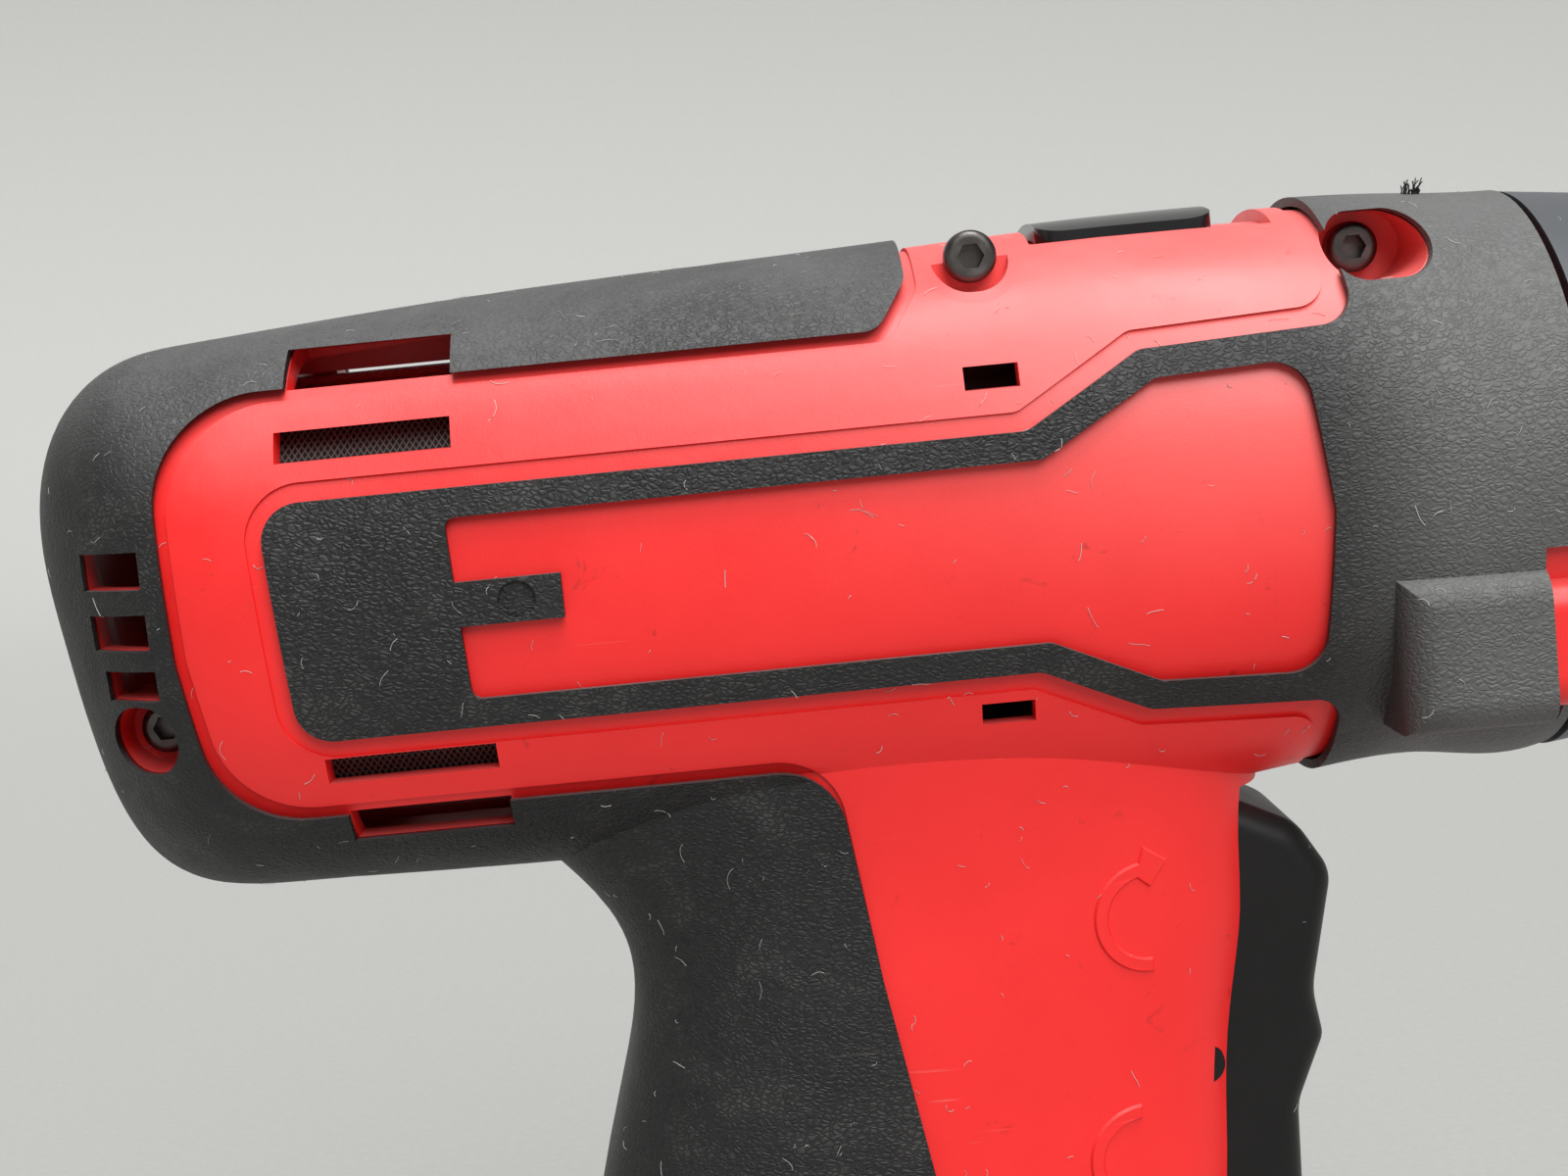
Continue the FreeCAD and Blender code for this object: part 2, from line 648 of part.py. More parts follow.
def magnets():
    r_out = MOTOR_R - CAN_WALL - PRESS
    pieces = [sector(CORE[0] - 2, CORE[1] + 2, r_out, r_out - MAGNET, a - MAGNET_ARC / 2, MAGNET_ARC)
              for a in (0, 180)]
    return Part.makeCompound(pieces)


def core_radius():
    return MOTOR_R - CAN_WALL - PRESS - MAGNET - AIR_GAP


def armature_core():
    """Laminated stack with deep slots between its poles."""
    r = core_radius()
    core = rod(CORE[0], CORE[1], r)
    slots = []
    for i in range(POLES):
        mouth = box(CORE[0] - 1, CORE[1] + 1, -1.0, 1.0, AXIS_Z + r - 4, AXIS_Z + r + 1)
        well = rod(CORE[0] - 1, CORE[1] + 1, 3.2, 0, AXIS_Z + r - 5.2)
        slots.append(around_axis(mouth.fuse(well), 360.0 * i / POLES))
    return core.cut(union(slots)).cut(rod(CORE[0] - 1, CORE[1] + 1, SHAFT_R))


def armature_windings():
    """Copper packed in the slots and humped over both ends of the stack."""
    r = core_radius()
    coil_rod = rod(CORE[0] - PRESS, CORE[1] + PRESS, 3.0, 0, AXIS_Z + r - 5.2)
    coils = [around_axis(coil_rod, 360.0 * i / POLES) for i in range(POLES)]
    rear = tube(CORE[0] - WINDING_OVER, CORE[0] - PRESS, r - 2.0, SHAFT_R)
    front = tube(CORE[1] + PRESS, CORE[1] + WINDING_OVER, r - 2.0, SHAFT_R)
    return union(coils + [rear, front])


def brushes():
    along, across = BRUSH
    x = (COMMUTATOR[0] + COMMUTATOR[1]) / 2.0
    reach = MOTOR_R - CAN_WALL - 2.0
    block = box(x - along / 2, x + along / 2, COMMUTATOR_R + 0.15, reach,
                AXIS_Z - across / 2, AXIS_Z + across / 2)
    return Part.makeCompound([block, mirrored(block)])


def fan():
    hub = tube(FAN[0], FAN[1], 6.0, SHAFT_R)
    blade = box(FAN[0], FAN[1] - 1.0, -0.6, 0.6, AXIS_Z + 5.5, AXIS_Z + FAN_R)
    disc = tube(FAN[1] - 1.0, FAN[1], FAN_R, SHAFT_R)
    return union([hub, disc] + [around_axis(blade, 360.0 * i / FAN_BLADES) for i in range(FAN_BLADES)])


# ---- gears -------------------------------------------------------------------------------
def tooth_half_angle(teeth, radius, slack):
    """Half the angle that a tooth covers at a radius."""
    pitch = MODULE * teeth / 2.0
    base = pitch * math.cos(PRESSURE_ANGLE)
    at = math.acos(min(1.0, base / max(radius, base)))
    inv_pitch = math.tan(PRESSURE_ANGLE) - PRESSURE_ANGLE
    inv_at = math.tan(at) - at
    return (math.pi * MODULE / 4.0 - slack / 2.0) / pitch + inv_pitch - inv_at


def gear_outline(teeth, tip, root, slack):
    """Corner points of a gear, a tooth pointing along the start angle."""
    pitch = MODULE * teeth / 2.0
    base = pitch * math.cos(PRESSURE_ANGLE)
    levels = [root, max(base, root + 0.02), pitch, tip]
    points = []
    for i in range(teeth):
        centre = 2 * math.pi * i / teeth
        for r in levels:
            points.append((r, centre - tooth_half_angle(teeth, r, slack)))
        for r in reversed(levels):
            points.append((r, centre + tooth_half_angle(teeth, r, slack)))
    return points


def gear_prism(points, x0, x1, y, z, turn):
    """Straight toothed prism along X. Angles run from +Z towards -Y."""
    ring = [V(x0, y - r * math.sin(a + turn), z + r * math.cos(a + turn)) for r, a in points]
    return Part.Face(Part.makePolygon(ring + ring[:1])).extrude(V(x1 - x0, 0, 0))


def sun_gear(x0, x1):
    pitch = MODULE * SUN_TEETH / 2.0
    outline = gear_outline(SUN_TEETH, pitch + MODULE * 0.95, pitch - MODULE * 1.2, BACKLASH)
    return gear_prism(outline, x0, x1, 0.0, AXIS_Z, 0.0)


def planet_centre(i):
    angle = 2 * math.pi * i / PLANETS
    return -ORBIT_R * math.sin(angle), AXIS_Z + ORBIT_R * math.cos(angle)


def planet_gear(stage, i):
    """One planet, its tooth outwards so that it meets a space of the ring."""
    pitch = MODULE * PLANET_TEETH / 2.0
    outline = gear_outline(PLANET_TEETH, pitch + MODULE * 0.95, pitch - MODULE * 1.2, BACKLASH)
    y, z = planet_centre(i)
    gear = gear_prism(outline, stage[0], stage[1], y, z, 2 * math.pi * i / PLANETS)
    return gear.cut(rod(stage[0] - 1, stage[1] + 1, PIN_R + RUN, y, z))


def ring_teeth_cutter(x0, x1):
    """The space inside a ring gear, its space at the start angle."""
    pitch = MODULE * RING_TEETH / 2.0
    outline = gear_outline(RING_TEETH, pitch + MODULE * 1.2, pitch - MODULE * 0.95, -BACKLASH)
    return gear_prism(outline, x0 - 1, x1 + 1, 0.0, AXIS_Z, 0.0)


def ring_gear(x0, x1):
    return rod(x0, x1, RING_R).cut(ring_teeth_cutter(x0, x1))


def pins(stage, x_plate):
    """Planet pins on the rear of a carrier plate."""
    return [rod(stage[0] - 0.3, x_plate + 0.5, PIN_R, *planet_centre(i)) for i in range(PLANETS)]


def carrier(stage, next_stage):
    """Carrier plate with its planet pins and the sun gear of the next stage."""
    plate_x = stage[1] + 0.7
    plate = rod(plate_x, plate_x + PLATE, CARRIER_R)
    neck_r = MODULE * (SUN_TEETH / 2.0 - 1.2)
    neck = rod(plate_x, next_stage[0] - 0.3, neck_r)
    sun = sun_gear(next_stage[0] - 0.5, next_stage[1] - 0.2)
    return union([plate, neck, sun] + pins(stage, plate_x))


def drive_dogs():
    """Teeth on the second carrier, just ahead of the sliding ring's front stop."""
    x0 = SHIFT_RING[1] + SHIFT + 0.4
    pitch = MODULE * RING_TEETH / 2.0
    outline = gear_outline(RING_TEETH, pitch + MODULE * 0.8, pitch - MODULE * 1.1, BACKLASH)
    wheel = gear_prism(outline, x0, x0 + 2.4, 0.0, AXIS_Z, math.pi / RING_TEETH)
    return wheel.fuse(rod(STAGE_SECOND[1] + 0.7, x0, CARRIER_R - 3.0))


def shift_ring():
    x0, x1 = SHIFT_RING
    ring = ring_gear(x0, x1)
    lug = box(x0 + 0.2, x0 + 0.2 + LUG_LEN, -LUG_HALF_W, LUG_HALF_W, AXIS_Z + RING_R - 1, AXIS_Z + LUG_R)
    ring = union([ring] + [around_axis(lug, 360.0 * i / LUGS) for i in range(LUGS)])
    return ring.cut(tube(FORK_X - 0.25, FORK_X + FORK_T + 0.25, LUG_R + 2, FORK_IN_R - 0.35))


def shift_yoke():
    """Half ring in the sliding gear's groove, and the plate that joins it to the slider."""
    arc = sector(FORK_X, FORK_X + FORK_T, FORK_OUT_R, FORK_IN_R, 30.0, 120.0)
    post = box(FORK_X, FORK_X + FORK_T, -4.0, 4.0, AXIS_Z + FORK_OUT_R - 0.8, AXIS_Z + 22.0)
    plate = box(FORK_X, SLIDER_REAR_X + 9.0, -4.5, 4.5, AXIS_Z + 21.2, AXIS_Z + 22.6)
    return union([arc, post, plate])


def speed_button(full):
    """Slider cap that follows the barrel, with a stem down to the yoke."""
    area = box(SLIDER_REAR_X, SLIDER_FRONT_X, -SLIDER_HALF_W, SLIDER_HALF_W, AXIS_Z + 20, AXIS_Z + 60)
    corners = [e for e in area.Edges if abs(e.tangentAt(0).z) > 0.9]
    area = area.makeFillet(3.0, corners)
    cap = outer(SLIDER_PROUD).cut(outer(-SLIDER_SUNK)).common(area)
    stem = box(SLIDER_REAR_X + 2.2, SLIDER_REAR_X + 9.0, -5.0, 5.0, AXIS_Z + 22.6 + PRESS, AXIS_Z + 28.0)
    return cap.fuse(stem).removeSplitter()


def gearbox_case_rear():
    """Rear case with the motor plate, the first ring's seat and the shift ring's grooves."""
    shift_x = STAGE_SECOND[0] - 1.5
    small, large = RING_R + CASE_WALL, SHIFT_CASE_R + CASE_WALL
    body = rod(MOTOR_FRONT_X + PRESS, shift_x, small).fuse(rod(shift_x, CASE_JOIN_X - PRESS, large))
    bores = [
        rod(MOTOR_FRONT_X - 1, CASE_REAR_X + 2, SHAFT_R + 2.0),
        rod(CASE_REAR_X + 1.2, STAGE_FIRST[1] + 1, RING_R + PRESS),
        rod(STAGE_FIRST[1], shift_x + 1, CARRIER_R + 1.2),
        rod(shift_x, shift_x + LUG_LEN + 1.7, RING_R + GAP),
        rod(shift_x + LUG_LEN + 1.6, CASE_JOIN_X - 1.2, SHIFT_CASE_R),
        rod(CASE_JOIN_X - 3, CASE_JOIN_X + 1, CARRIER_R + 2.6),
    ]
    groove = box(shift_x, shift_x + LUG_LEN + 1.7, -LUG_HALF_W - GAP, LUG_HALF_W + GAP,
                 AXIS_Z + 10, AXIS_Z + LUG_R + GAP)
    bores += [around_axis(groove, 360.0 * i / LUGS) for i in range(LUGS)]
    bores.append(box(FORK_X - 0.4, FORK_X + FORK_T + SHIFT + 0.4, -4.4, 4.4, AXIS_Z + 10, AXIS_Z + 40))
    return body.cut(union(bores))


def clutch_ball_places():
    return [(-CLUTCH_BALL_ORBIT * math.sin(a), AXIS_Z + CLUTCH_BALL_ORBIT * math.cos(a))
            for a in (2 * math.pi * (i + 0.5) / CLUTCH_BALLS for i in range(CLUTCH_BALLS))]


def gearbox_case_front():
    """Front case with the third ring's seat, the clutch ball holes and the nose tube."""
    ring_front = STAGE_THIRD[1] + 1.0
    drum = rod(CASE_JOIN_X, CASE_FRONT_X, RING_R + CASE_WALL)
    body = drum.fuse(rod(CASE_FRONT_X - 1, TUBE_FRONT_X, TUBE_R))
    bores = [
        rod(CASE_JOIN_X - 1, ring_front + 0.5, RING_R + PRESS),
        rod(ring_front, CASE_FRONT_X - 4.0, CARRIER_R + 0.35),
        rod(CASE_FRONT_X - 5, TUBE_FRONT_X + 1, TUBE_BORE_R),
    ]
    bores += [rod(ring_front, CASE_FRONT_X + 1, CLUTCH_BALL_R + 0.08, y, z)
              for y, z in clutch_ball_places()]
    return body.cut(union(bores))


def clutch_balls():
    """Two balls in each hole, between the third ring and the pressure washer."""
    first = STAGE_THIRD[1] + 1.1 + CLUTCH_BALL_R
    second = first + 2 * CLUTCH_BALL_R + 0.05
    balls = []
    for y, z in clutch_ball_places():
        balls += [Part.makeSphere(CLUTCH_BALL_R, V(x, y, z)) for x in (first, second)]
    return Part.makeCompound(balls)


# ---- spindle and chuck -------------------------------------------------------------------
def hexagon(x0, x1, across):
    r = across / math.sqrt(3.0)
    corners = [V(x0, r * math.sin(math.radians(a)), AXIS_Z + r * math.cos(math.radians(a)))
               for a in range(0, 361, 60)]
    return Part.Face(Part.makePolygon(corners)).extrude(V(x1 - x0, 0, 0))


def output_spindle():
    plate_x = STAGE_THIRD[1] + 0.7
    plate = rod(plate_x, plate_x + PLATE + 1.0, CARRIER_R)
    shaft = rod(plate_x, SPINDLE_FRONT_X, SPINDLE_R)
    body = union([plate, shaft] + pins(STAGE_THIRD, plate_x))
    mouth_place = V(SPINDLE_FRONT_X - 1.4, 0, AXIS_Z)
    mouth = Part.makeCone(HEX_AF / 2, HEX_AF / 2 + 1.4, 1.4, mouth_place, V(1, 0, 0))
    cutters = [hexagon(SPINDLE_FRONT_X - HEX_DEPTH, SPINDLE_FRONT_X + 1, HEX_AF), mouth]
    cutters.append(tube(SNAP_RING_X - 0.05, SNAP_RING_X + 1.05, SPINDLE_R + 1, SPINDLE_R - 0.6))
    cutters += [Part.makeCylinder(CHUCK_BALL_R + 0.05, 8, V(CHUCK_BALL_X, 0, AXIS_Z), V(0, s, 0))
                for s in (-1, 1)]
    return body.cut(union(cutters))


def chuck_balls():
    places = [V(CHUCK_BALL_X, s * CHUCK_BALL_ORBIT, AXIS_Z) for s in (-1, 1)]
    return Part.makeCompound([Part.makeSphere(CHUCK_BALL_R, place) for place in places])


def chuck_sleeve():
    body = rod(SLEEVE_REAR_X, SLEEVE_FRONT_X, SLEEVE_R)
    rims = [e for e in body.Edges if e.Closed and abs(e.CenterOfMass.z - AXIS_Z) < 0.1]
    rims = [e for e in rims if abs(e.BoundBox.YLength - 2 * SLEEVE_R) < 0.1]
    body = body.makeChamfer(0.8, [e for e in rims if e.BoundBox.XLength < 0.1])
    bores = rod(SLEEVE_REAR_X - 1, SLEEVE_FRONT_X + 1, SLEEVE_BORE_R)
    bores = bores.fuse(rod(SLEEVE_CHAMBER_X, SLEEVE_FRONT_X + 1, SLEEVE_CHAMBER_R))
    grips = [tube(x, x + 0.8, SLEEVE_R + 1, SLEEVE_R - 0.4) for x in (100.5, 102.5, 104.5, 106.5)]
    return body.cut(bores).cut(union(grips))


def coil(x0, x1, coil_r, wire_r, turns):
    """Helical spring along X."""
    pitch = (x1 - x0 - 2 * wire_r) / turns
    helix = Part.makeHelix(pitch, x1 - x0 - 2 * wire_r, coil_r)
    section = Part.Wire(Part.makeCircle(wire_r, V(coil_r, 0, 0), V(0, coil_r, pitch / (2 * math.pi))))
    spring = Part.Wire(helix).makePipeShell([section], True, True)
    spring.Placement = FreeCAD.Placement(V(x0 + wire_r, 0, AXIS_Z), FreeCAD.Rotation(V(0, 1, 0), 90))
    return spring


# ---- clutch ------------------------------------------------------------------------------
def clutch_collar():
    """Adjusting collar: a fluted shell with keyways for the nut."""
    length = COLLAR_FRONT_X - COLLAR_REAR_X
    axis = V(1, 0, 0)
    body = Part.makeCone(COLLAR_REAR_R, COLLAR_FRONT_R, length, V(COLLAR_REAR_X, 0, AXIS_Z), axis)
    front_edges = [e for e in body.Edges if e.Closed and e.CenterOfMass.x > COLLAR_FRONT_X - 0.1]
    body = body.makeFillet(1.6, front_edges)
    hollow = Part.makeCone(
        COLLAR_REAR_R - COLLAR_WALL, COLLAR_FRONT_R - COLLAR_WALL, length - COLLAR_WALL,
        V(COLLAR_REAR_X, 0, AXIS_Z), axis)
    body = body.cut(hollow).cut(rod(COLLAR_REAR_X, COLLAR_FRONT_X + 1, TUBE_R + RUN))
    guide_r = NUT_KEY_R + GAP
    rails = box(COLLAR_REAR_X + 0.6, COLLAR_FRONT_X - 1, -NUT_KEY_HALF_W - 3, NUT_KEY_HALF_W + 3,
                AXIS_Z - COLLAR_FRONT_R + 1, AXIS_Z + COLLAR_FRONT_R - 1)
    rails = rails.cut(rod(COLLAR_REAR_X, COLLAR_FRONT_X, NUT_R + GAP))
    keyway = box(COLLAR_REAR_X, COLLAR_FRONT_X - COLLAR_WALL, -NUT_KEY_HALF_W - GAP, NUT_KEY_HALF_W + GAP,
                 AXIS_Z - guide_r, AXIS_Z + guide_r)
    body = body.fuse(rails).cut(keyway)
    flute_place = V(COLLAR_FRONT_X - 11.5, 0, AXIS_Z + COLLAR_FRONT_R + 1.2)
    flute = Part.makeCylinder(COLLAR_FLUTE_R, 14.0, flute_place, axis)
    turns = [360.0 * (i + 0.5) / COLLAR_FLUTES for i in range(COLLAR_FLUTES)]
    return body.cut(union([around_axis(flute, a) for a in turns]))


def clutch_nut():
    body = rod(NUT_REAR_X, NUT_REAR_X + NUT_LEN, NUT_R)
    keys = box(NUT_REAR_X, NUT_REAR_X + NUT_LEN, -NUT_KEY_HALF_W, NUT_KEY_HALF_W,
               AXIS_Z - NUT_KEY_R, AXIS_Z + NUT_KEY_R)
    return union([body, keys]).cut(rod(NUT_REAR_X - 1, NUT_REAR_X + NUT_LEN + 1, TUBE_R + RUN))


# ---- trigger and switch ------------------------------------------------------------------
def trigger():
    """Two-way rocker with a finger hollow above and below its middle."""
    outline = (
        (TRIGGER_BACK_X, TRIGGER_TOP_Z - 1.2, 2.0),
        (42.5, TRIGGER_TOP_Z, 3.0),
        (48.6, TRIGGER_TOP_Z - 3.0, 5.0),
        (51.7, TRIGGER_TOP_Z - 8.2, 4.0),
        (49.0, PIVOT_Z + 5.5, 8.0),
        (49.7, PIVOT_Z + 0.8, 2.5),
        (46.7, PIVOT_Z - 6.0, 6.0),
        (46.4, TRIGGER_BOTTOM_Z + 9.0, 8.0),
        (44.8, TRIGGER_BOTTOM_Z + 1.0, 4.0),
        (TRIGGER_BACK_X, TRIGGER_BOTTOM_Z, 2.0),
    )
    body = side_prism(outline, -TRIGGER_HALF_W, TRIGGER_HALF_W)
    front = [e for e in body.Edges if abs(abs(e.CenterOfMass.y) - TRIGGER_HALF_W) < 0.01
             and e.CenterOfMass.x > 44.0]
    body = body.makeFillet(TRIGGER_ROUND, front)
    hollow = box(TRIGGER_BACK_X + 2.2, 45.0, -TRIGGER_HALF_W + 2.2, TRIGGER_HALF_W - 2.2,
                 AXIS_Z + PIVOT_Z + 5.0, AXIS_Z + TRIGGER_TOP_Z - 4.5)
    lower = box(TRIGGER_BACK_X + 2.2, 43.0, -TRIGGER_HALF_W + 2.2, TRIGGER_HALF_W - 2.2,
                AXIS_Z + TRIGGER_BOTTOM_Z + 4.5, AXIS_Z + PIVOT_Z - 5.0)
    end_y = TRIGGER_HALF_W + AXLE_END
    axle = cross_rod(PIVOT_X, AXIS_Z + PIVOT_Z, -end_y, end_y, PIVOT_R)
    return body.cut(hollow).cut(lower).fuse(axle)


def pivot_sockets():
    end_y = TRIGGER_HALF_W + AXLE_END + GAP
    return cross_rod(PIVOT_X, AXIS_Z + PIVOT_Z, -end_y, end_y, PIVOT_R + RUN)


def plunger(direction):
    """Switch plunger, direction 1 for the upper one and -1 for the lower one."""
    z = AXIS_Z + PIVOT_Z + direction * PLUNGER_REACH
    return rod(SWITCH[1] - 8.0, TRIGGER_BACK_X - GAP, PLUNGER_R, 0.0, z)


def switch_module():
    x0, x1, low, high = SWITCH
    body = box(x0, x1, -SWITCH_HALF_W, SWITCH_HALF_W, AXIS_Z + low, AXIS_Z + high)
    body = body.makeFillet(1.5, [e for e in body.Edges if abs(e.tangentAt(0).y) > 0.9])
    for direction in (1, -1):
        z = AXIS_Z + PIVOT_Z + direction * PLUNGER_REACH
        body = body.cut(rod(x1 - 12.0, x1 + 1, PLUNGER_R + RUN, 0.0, z))
    return body


def lead(y):
    """Wire from the switch, under the motor and up to its end cap."""
    low = AXIS_Z - MOTOR_R - 1.7
    top_of_switch = AXIS_Z + SWITCH[3]
    turn = 5.0
    rear = MOTOR_REAR_X - CAP_LEN - 1.8
    legs = [
        Part.makeCylinder(1.1, low - turn - top_of_switch, V(14.0, y, top_of_switch), V(0, 0, 1)),
        Part.makeTorus(turn, 1.1, V(14.0 - turn, y, low - turn), V(0, 1, 0), 0, 360).common(
            box(14.0 - turn, 30.0, y - 5, y + 5, low - turn, low + 5)),
        rod(rear + turn, 14.0 - turn, 1.1, y, low),
        Part.makeTorus(turn, 1.1, V(rear + turn, y, low + turn), V(0, 1, 0), 0, 360).common(
            box(rear - 5, rear + turn, y - 5, y + 5, low - 5, low + turn)),
        Part.makeCylinder(1.1, 4.0, V(rear, y, low + turn), V(0, 0, 1)),
    ]
    return union(legs)


# ---- battery -----------------------------------------------------------------------------
def pack_outline(inset, z0, z1):
    block = box(-BATTERY_HALF_L + inset, BATTERY_HALF_L - inset, -BATTERY_HALF_W + inset,
                BATTERY_HALF_W - inset, z0, z1)
    return block.makeFillet(CORNER_R - inset, [e for e in block.Edges if abs(e.tangentAt(0).z) > 0.9])


def battery_case():
    """Base shell and stem in one moulding, open below."""
    body = pack_outline(0.0, COVER_H, BATTERY_H)
    rim = [e for e in body.Edges if abs(e.CenterOfMass.z - BATTERY_H) < 0.01]
    body = body.makeFillet(1.2, rim)
    body = body.cut(pack_outline(CASE_T, COVER_H - 1, BATTERY_H - CASE_T))
    stem = stem_block(0.0, BATTERY_H - 0.6, BATTERY_H + STEM_H)
    hollow = stem_block(-CASE_T, BATTERY_H - 12, BATTERY_H + STEM_H - CASE_T)
    body = body.fuse(stem.cut(box(-60, 60, -40, 40, 0, BATTERY_H - 1.2))).cut(hollow)
    slots = [raked(blade(s, GAP)) for s in (-1, 1)]
    openings = [latch_opening(side) for side in (-1, 1)]
    return body.cut(union(slots + openings))


def latch_opening(side):
    x0, x1, z0, z1 = LATCH
    y0, y1 = (BATTERY_HALF_W - CASE_T - 1, BATTERY_HALF_W + 1)
    opening = box(x0 - GAP, x1 + GAP, y0, y1, z0 - GAP, z1 + GAP)
    return opening if side > 0 else mirrored(opening)


def latch(side):
    """Release button, with a flange that holds it inside the case."""
    x0, x1, z0, z1 = LATCH
    inside = BATTERY_HALF_W - CASE_T - 0.1
    pad = box(x0, x1, inside - LATCH_FLANGE + 0.1, BATTERY_HALF_W + LATCH_PROUD, z0, z1)
    face = [e for e in pad.Edges if e.CenterOfMass.y > BATTERY_HALF_W + LATCH_PROUD - 0.01]
    pad = pad.makeFillet(0.8, face)
    flange = box(x0 - 2, x1 + 2, inside - LATCH_FLANGE, inside, z0 - 2, z1 + 2)
    body = pad.fuse(flange)
    return body if side > 0 else mirrored(body)


def battery_base_cover():
    plate = pack_outline(0.0, 0.0, COVER_H - PRESS)
    rim = [e for e in plate.Edges if abs(e.CenterOfMass.z) < 0.01]
    return plate.makeFillet(0.9, rim)


def cells():
    pieces = []
    low = COVER_H + CELL_R + 0.4
    for y in (-CELL_R - 0.3, CELL_R + 0.3):
        for z in (low, low + 2 * CELL_R + 0.3):
            cell = rod(-CELL_LEN / 2, CELL_LEN / 2, CELL_R, y, z)
            pieces.append(cell.fuse(rod(CELL_LEN / 2 - 1, CELL_LEN / 2 + 1.0, 2.8, y, z)))
    return Part.makeCompound(pieces)


def blade(side, grow):
    """Contact blade, upright, standing out of the stem's top."""
    top = BATTERY_H + STEM_H
    return box(STEM_CENTRE_X - 4 - grow, STEM_CENTRE_X + 4 + grow, side * 5.0 - 0.4 - grow,
               side * 5.0 + 0.4 + grow, top - 9, top + 7 + grow)


def terminal_block():
    """Socket block that the battery's blades slide into."""
    top = BATTERY_H + STEM_H
    block = box(STEM_CENTRE_X - 10, STEM_CENTRE_X + 10, -11, 11, top + 0.8, top + 9.5)
    slots = union([blade(s, GAP) for s in (-1, 1)])
    return raked(block.cut(slots))


# ---- all pieces --------------------------------------------------------------------------
def rotor_pieces():
    return {
        "armature_core": armature_core(),
        "armature_windings": armature_windings(),
        "commutator": tube(COMMUTATOR[0], COMMUTATOR[1], COMMUTATOR_R, SHAFT_R),
        "motor_shaft": rod(MOTOR_REAR_X - CAP_LEN + 1.3, STAGE_FIRST[1] - 0.2, SHAFT_R),
        "motor_fan": fan(),
        "motor_pinion": sun_gear(STAGE_FIRST[0] - 0.5, STAGE_FIRST[1] - 0.2).cut(
            rod(0, STAGE_FIRST[1] + 1, SHAFT_R)),
    }


def housing_pieces():
    full = outer(0.0)
    cavity = outer(-WALL)
    both = shell(full, cavity).cut(pivot_sockets())
    pieces = {"vent_screens": vent_screens(), "speed_button": speed_button(full)}
    for name, side in (("right", -1), ("left", 1)):
        pieces["housing_" + name] = both.common(half_space(side))
        cuts = skin_cuts(side)
        pieces["overmould_rear_" + name] = rubber(full, rear_region(), side, cuts)
        pieces["overmould_front_" + name] = rubber(full, front_region(), side, cuts)
    return pieces


def drive_pieces():
    pieces = {
        "motor_can": motor_can(),
        "motor_end_cap": motor_end_cap(),
        "motor_magnets": magnets(),
        "motor_brushes": brushes(),
        "gearbox_case_rear": gearbox_case_rear(),
        "gearbox_case_front": gearbox_case_front(),
        "ring_gear_first": ring_gear(STAGE_FIRST[0] - 1.0, STAGE_FIRST[1] + 0.9),
        "ring_gear_second": shift_ring(),
        "ring_gear_third": ring_gear(STAGE_THIRD[0] - 0.5, STAGE_THIRD[1] + 1.0),
        "carrier_first": carrier(STAGE_FIRST, STAGE_SECOND),
        "carrier_second": carrier(STAGE_SECOND, STAGE_THIRD).fuse(drive_dogs()).removeSplitter(),
        "output_spindle": output_spindle(),
        "spindle_bushes": Part.makeCompound([
            tube(x, x + 8.0, TUBE_BORE_R - PRESS, SPINDLE_R + RUN)
            for x in (CASE_FRONT_X - 3, TUBE_FRONT_X - 9)]),
        "shift_yoke": shift_yoke(),
    }
    for name, stage in (("first", STAGE_FIRST), ("second", STAGE_SECOND), ("third", STAGE_THIRD)):
        for i in range(PLANETS):
            pieces["planet_%s_%d" % (name, i + 1)] = planet_gear(stage, i)
    return pieces


def front_pieces():
    lens = rod(POD_FRONT_X - LENS_LEN, POD_FRONT_X + 0.4, LENS_R, LENS_Y, AXIS_Z + POD_Z)
    return {
        "clutch_balls": clutch_balls(),
        "clutch_washer": tube(
            WASHER_X, WASHER_X + WASHER_T, CLUTCH_BALL_ORBIT + CLUTCH_BALL_R, TUBE_R + PRESS),
        "clutch_spring": coil(
            WASHER_X + WASHER_T + 0.05, NUT_REAR_X - 0.05, SPRING_COIL_R, SPRING_WIRE_R, SPRING_TURNS),
        "clutch_nut": clutch_nut(),
        "clutch_collar": clutch_collar(),
        "chuck_sleeve": chuck_sleeve(),
        "chuck_balls": chuck_balls(),
        "chuck_snap_ring": tube(SNAP_RING_X, SNAP_RING_X + 1.0, SNAP_RING_R, SPINDLE_R - 0.55),
        "sleeve_spring": coil(SLEEVE_CHAMBER_X + 0.1, SNAP_RING_X - 0.1, 7.4, 0.6, 4.0),
        "lamp_lenses": Part.makeCompound([lens, mirrored(lens)]),
    }


def grip_pieces():
    return {
        "housing_screws": Part.makeCompound([screw(x, h, depth) for x, h, depth, _ in SCREWS]),
        "trigger": trigger(),
        "switch_module": switch_module(),
        "plunger_forward": plunger(1),
        "plunger_reverse": plunger(-1),
        "motor_leads": Part.makeCompound([lead(-3.5), lead(3.5)]),
        "terminal_block": terminal_block(),
        "battery_case": battery_case(),
        "battery_base_cover": battery_base_cover(),
        "battery_cells": cells(),
        "battery_contacts": Part.makeCompound([raked(blade(s, 0.0)) for s in (-1, 1)]),
        "battery_latch_right": latch(-1),
        "battery_latch_left": latch(1),
    }


os.makedirs("parts", exist_ok=True)
for group in (rotor_pieces, housing_pieces, drive_pieces, front_pieces, grip_pieces):
    for node, shape in group().items():
        shape.exportStep("parts/%s.step" % node)
        print(node, "%.1f" % shape.Volume, len(shape.Solids), shape.isValid())
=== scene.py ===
import math
import random

